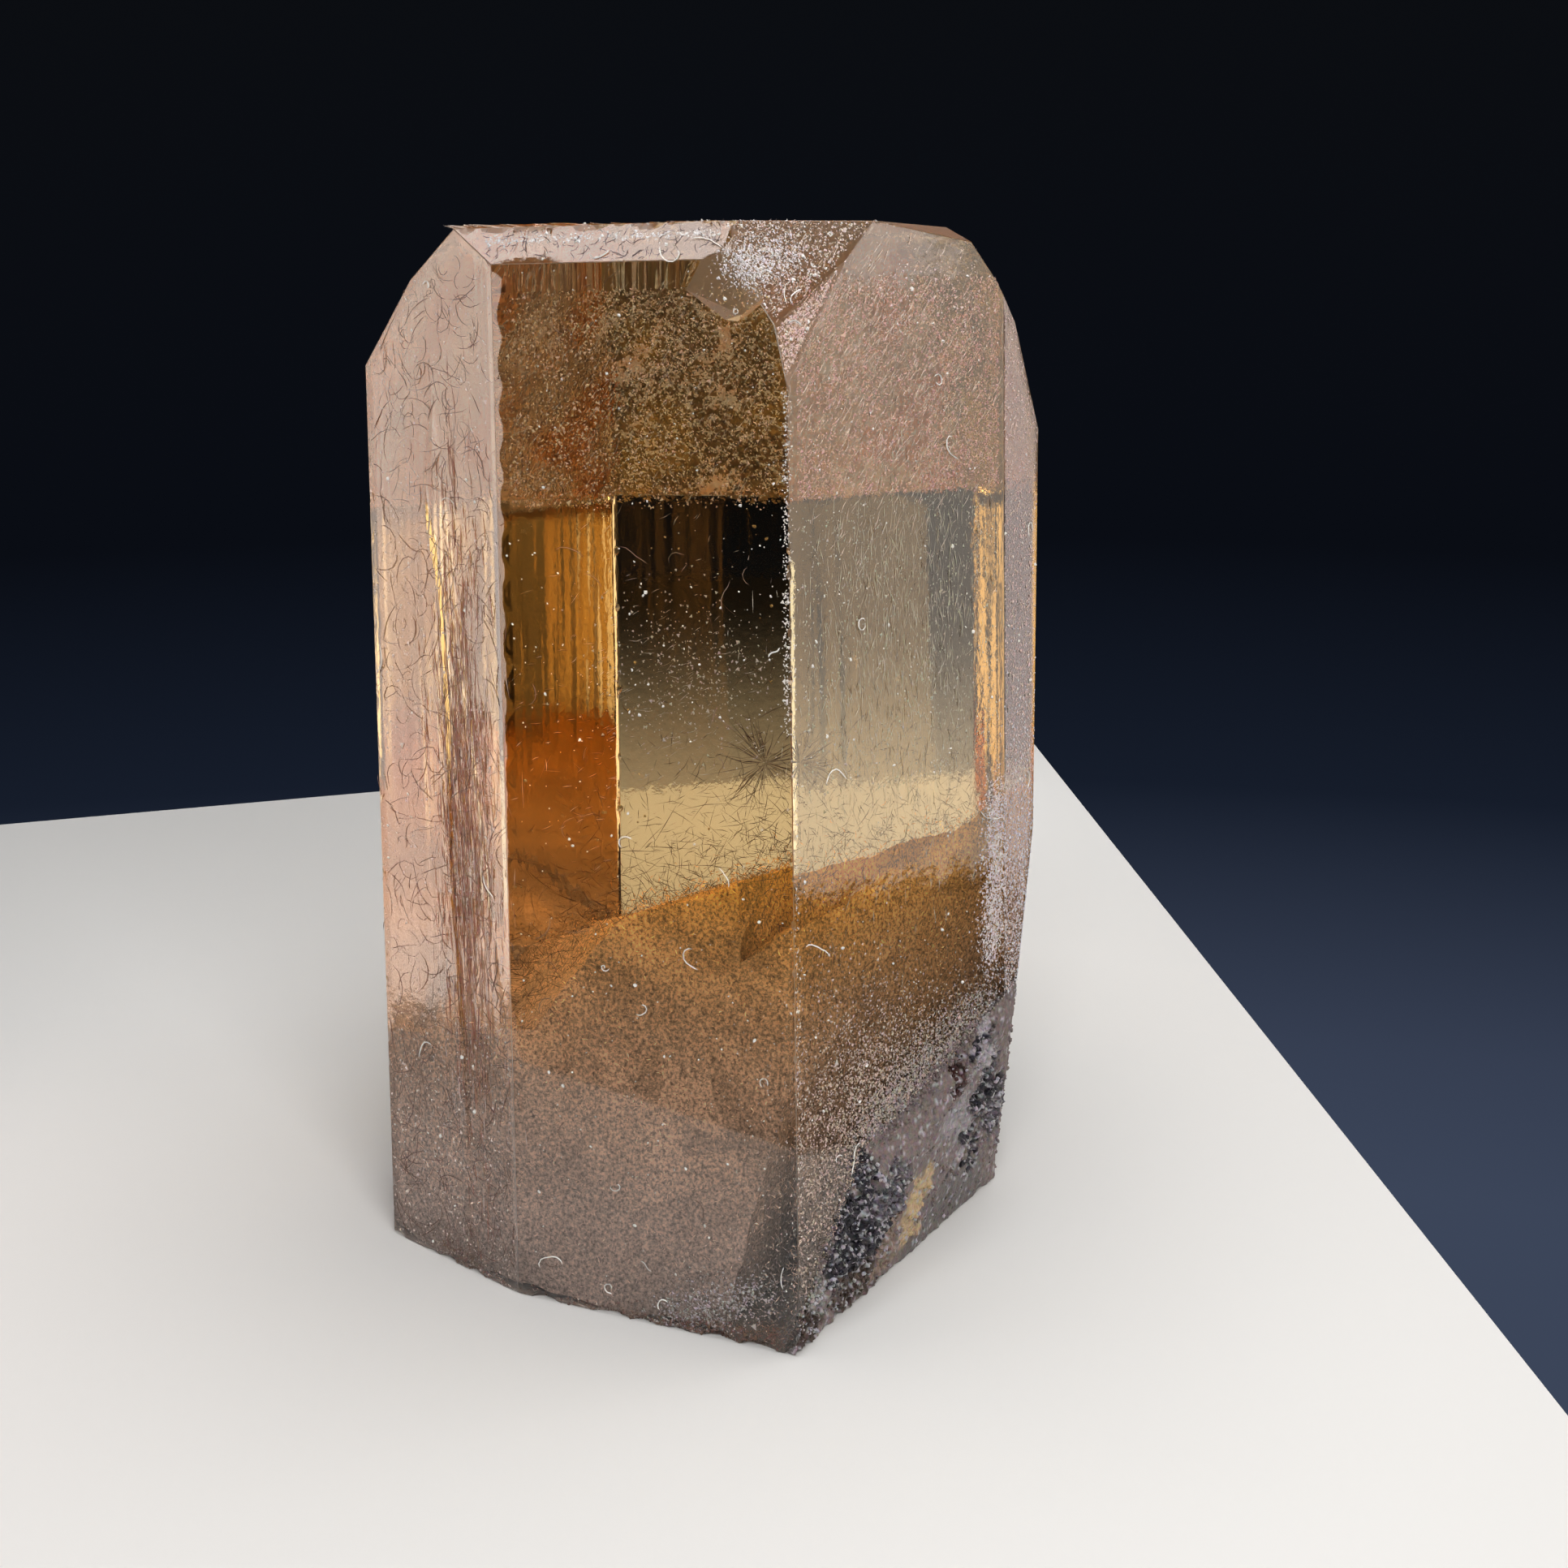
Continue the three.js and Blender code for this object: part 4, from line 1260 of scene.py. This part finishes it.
def crust_grains(faces, outer, corners, random):
    """Loose-looking grains over the crust's gritty parts and past its rim."""
    middles = corners.mean(axis=1)
    _, grit = crust_look(*outer.flat(middles))
    chance = np.linalg.norm(area_normals(corners), axis=1) * grit
    chosen = random.choice(len(corners), CRUST["grains"], p=chance / chance.sum())
    rim = []
    for start, end in zip(BED_RIM, BED_RIM[1:]):
        share = random.uniform(0, 1, CRUST["rim_grains"])[:, None]
        flat = np.array(start) + share * (np.array(end) - start)
        flat = flat + random.normal(0, CRUST["rim_spread"], flat.shape)
        rim.append(on_face(faces["l_front"], flat))
    rim = np.vstack(rim)
    rim = rim[behind(rim, [face.plane for face in faces.values()], -CRUST["overhang"])]
    parts = []
    for places, size in ((middles[chosen], CRUST["grain_size"]), (rim, CRUST["rim_grain_size"])):
        places = places[places[:, 2] > CRUST["lowest_grain"]]
        sizes = random.uniform(*size, len(places))
        vertices, triangles = grains(places, sizes, random, flat=0.7)
        tints = crust_tint(outer, places, random)
        parts.append((vertices, triangles, tints.repeat(len(vertices) // len(places), axis=0)))
    return parts


# ---- Materials ----


def new_material(name, **values):
    """A material with its node tree and its shader, whose inputs get the values."""
    material = bpy.data.materials.new(name)
    material.use_nodes = True
    shader = material.node_tree.nodes["Principled BSDF"]
    connect(material.node_tree, shader, values)
    return material, material.node_tree, shader


def connect(tree, node, inputs):
    """Gives a node's inputs their values, or links them to other nodes' outputs."""
    for name, value in inputs.items():
        if isinstance(value, bpy.types.NodeSocket):
            tree.links.new(value, node.inputs[name])
        else:
            node.inputs[name].default_value = value


def add(tree, kind, inputs=None, **settings):
    """A new shader node with its settings and inputs."""
    node = tree.nodes.new("ShaderNode" + kind)
    for name, value in settings.items():
        setattr(node, name, value)
    connect(tree, node, inputs or {})
    return node


def own_value(tree, name, output):
    """A value that comes with the mesh."""
    return add(tree, "Attribute", attribute_name=name).outputs[output]


def grain_noise(tree, inputs, output="Fac"):
    """Fine noise that stays with the object."""
    place = add(tree, "TexCoord").outputs["Object"]
    return add(tree, "TexNoise", {"Vector": place, **inputs}).outputs[output]


def topaz_material():
    material, tree, shader = new_material("topaz", **{
        "Base Color": (1, 1, 1, 1), "IOR": REFRACTION, "Transmission Weight": 1.0,
    })
    bump = add(tree, "Bump", {
        "Distance": ETCHED_DEPTH, "Height": grain_noise(tree, ETCHED_GRAIN),
        "Strength": own_value(tree, "etch", "Fac"),
    })
    rough = own_value(tree, "rough", "Fac")
    connect(tree, shader, {"Roughness": rough, "Normal": bump.outputs["Normal"]})
    strongest = max(ABSORPTION)
    absorb = add(tree, "VolumeAbsorption", {
        "Color": [1 - a / strongest for a in ABSORPTION] + [1], "Density": strongest / MM,
    })
    connect(tree, tree.nodes["Material Output"], {"Volume": absorb.outputs["Volume"]})
    return material


def tinted_material(name, roughness):
    """A dull material whose colour comes with the mesh, mottled by fine noise."""
    material, tree, shader = new_material(name, Roughness=roughness)
    mottle = grain_noise(tree, MOTTLE, "Color")
    mix = add(tree, "Mix", data_type="RGBA", blend_type="SOFT_LIGHT")
    connect(tree, mix, {"Factor": 0.5, "A": own_value(tree, "tint", "Color"), "B": mottle})
    connect(tree, shader, {"Base Color": mix.outputs["Result"]})
    return material


def turbid_material():
    """The tint of the mesh, with strong fine grain."""
    material, tree, shader = new_material("turbid foot", Roughness=0.7)
    grain = grain_noise(tree, TURBID_GRAIN)
    strength = add(tree, "MapRange", {"Value": grain, **TURBID_CONTRAST})
    speckled = add(tree, "VectorMath", operation="SCALE")
    tree.links.new(own_value(tree, "tint", "Color"), speckled.inputs[0])
    connect(tree, speckled, {"Scale": strength.outputs["Result"]})
    connect(tree, shader, {"Base Color": speckled.outputs["Vector"]})
    return material


def crust_material():
    material = tinted_material("crust", 0.55)
    tree = material.node_tree
    bump = add(tree, "Bump", {"Distance": GRIT_DEPTH, "Height": grain_noise(tree, GRIT)})
    connect(tree, tree.nodes["Principled BSDF"], {"Normal": bump.outputs["Normal"]})
    return material


# ---- Surroundings ----


def make_camera():
    data = bpy.data.cameras.new("camera")
    data.lens = CAMERA_LENS
    data.sensor_width = CAMERA_SENSOR
    data.clip_start, data.clip_end = CAMERA_CLIP
    camera = bpy.data.objects.new("camera", data)
    camera.location = (FOOT + CAMERA_FROM_FOOT) * MM
    camera.rotation_euler = (math.radians(90 - CAMERA_DOWN), 0, 0)
    bpy.context.scene.collection.objects.link(camera)
    bpy.context.scene.camera = camera


def set_light_paths():
    """Plain colours, and enough bounces for the reflections inside the stone."""
    scene = bpy.context.scene
    scene.view_settings.view_transform = "Standard"
    scene.cycles.max_bounces = 8
    scene.cycles.diffuse_bounces = 1
    scene.cycles.glossy_bounces = 5
    scene.cycles.transmission_bounces = 6


def height_in_box(tree):
    """Height in a mesh's own box, or up the backdrop."""
    place = add(tree, "TexCoord").outputs["Generated"]
    return add(tree, "SeparateXYZ", {"Vector": place}).outputs["Z"]


def make_world():
    world = bpy.data.worlds.new("backdrop")
    bpy.context.scene.world = world
    world.use_nodes = True
    tree = world.node_tree
    fall = add(tree, "MapRange", {
        "Value": height_in_box(tree), "From Min": BACKDROP_LOW, "From Max": BACKDROP_HIGH,
    })
    shades = add(tree, "ValToRGB", {"Fac": fall.outputs["Result"]})
    elements = shades.color_ramp.elements
    elements[0].position, elements[1].position = BACKDROP_SHADES[0][0], BACKDROP_SHADES[-1][0]
    for place, _ in BACKDROP_SHADES[1:-1]:
        elements.new(place)
    for element, (_, colour) in zip(elements, BACKDROP_SHADES):
        element.color = (*colour, 1)
    connect(tree, tree.nodes["Background"], {"Color": shades.outputs["Color"]})


def make_light(name, spec):
    """A soft light, seen at an azimuth from straight away and an elevation, that faces its aim."""
    a, e = math.radians(spec.azimuth), math.radians(spec.elevation)
    out = Vector((math.sin(a) * math.cos(e), math.cos(a) * math.cos(e), math.sin(e)))
    data = bpy.data.lights.new(name, "AREA")
    data.shape = "RECTANGLE"
    data.size, data.size_y = spec.size[0] * MM, spec.size[1] * MM
    data.energy = spec.radiance * math.pi * data.size * data.size_y
    data.color = spec.colour
    light = bpy.data.objects.new(name, data)
    light.location = Vector((np.array(spec.aim) + FOOT) * MM) + out * spec.distance * MM
    light.rotation_euler = out.to_track_quat("Z", "Y").to_euler()
    hide(light, ("camera", *spec.hidden_from))
    bpy.context.scene.collection.objects.link(light)


def hide(thing, rays):
    for kind in rays:
        setattr(thing, "visible_" + kind, False)


def card_material():
    """A faint glow, brightest at the foot."""
    material, tree, shader = new_material("card", **{
        "Base Color": (0, 0, 0, 1), "Emission Color": (*CARD["colour"], 1),
    })
    fade = add(tree, "MapRange", {
        "Value": height_in_box(tree), "From Min": 1, "From Max": 0, "To Max": CARD["radiance"],
    }, interpolation_type="SMOOTHERSTEP")
    connect(tree, shader, {"Emission Strength": fade.outputs["Result"]})
    return material


def make_card():
    """A faint card past the floor's far edge, seen only through the stone."""
    a = math.radians(CARD["azimuth"])
    out, side = np.array([math.sin(a), math.cos(a), 0]), np.array([math.cos(a), -math.sin(a), 0])
    middle = np.array(CARD["aim"]) + out * CARD["distance"]
    corners = []
    for way, height in ((-1, "bottom"), (1, "bottom"), (1, "top"), (-1, "top")):
        corner = middle + side * way * CARD["width"] / 2
        corners.append((corner[0], corner[1], CARD[height]))
    card = add_object("card", corners, [(0, 1, 2, 3)], card_material())
    hide(card, ("camera", "diffuse", "glossy", "shadow"))


def make_floor():
    levels = (FLOOR_TOP, -FLOOR_THICKNESS)
    corners = [(x, y, z) for z in levels for x, y in FLOOR_OUTLINE]
    sides = [(3, 2, 1, 0), (4, 5, 6, 7)]
    sides += [(i, (i + 1) % 4, (i + 1) % 4 + 4, i + 4) for i in range(4)]
    material, _, _ = new_material("pad", **{
        "Base Color": (*FLOOR_COLOUR, 1), "Roughness": FLOOR_ROUGHNESS,
    })
    add_object("floor", corners, sides, material)


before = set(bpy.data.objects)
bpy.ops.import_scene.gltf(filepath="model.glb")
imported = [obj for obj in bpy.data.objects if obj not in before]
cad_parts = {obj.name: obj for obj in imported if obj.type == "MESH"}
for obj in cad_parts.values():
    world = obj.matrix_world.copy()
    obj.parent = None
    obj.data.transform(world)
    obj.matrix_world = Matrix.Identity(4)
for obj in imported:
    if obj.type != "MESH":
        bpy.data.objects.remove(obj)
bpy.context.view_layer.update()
faces = make_faces()
make_camera()
set_light_paths()
make_world()
make_floor()
make_card()
for light, spec in LIGHTS.items():
    make_light(light, spec)
skin = make_crystal(faces)
make_crust(faces)
make_cloud(faces)
make_needles(faces)
make_stains(skin)
make_frost_and_foot_shade(skin)
make_dashes(skin)
make_dust(skin)
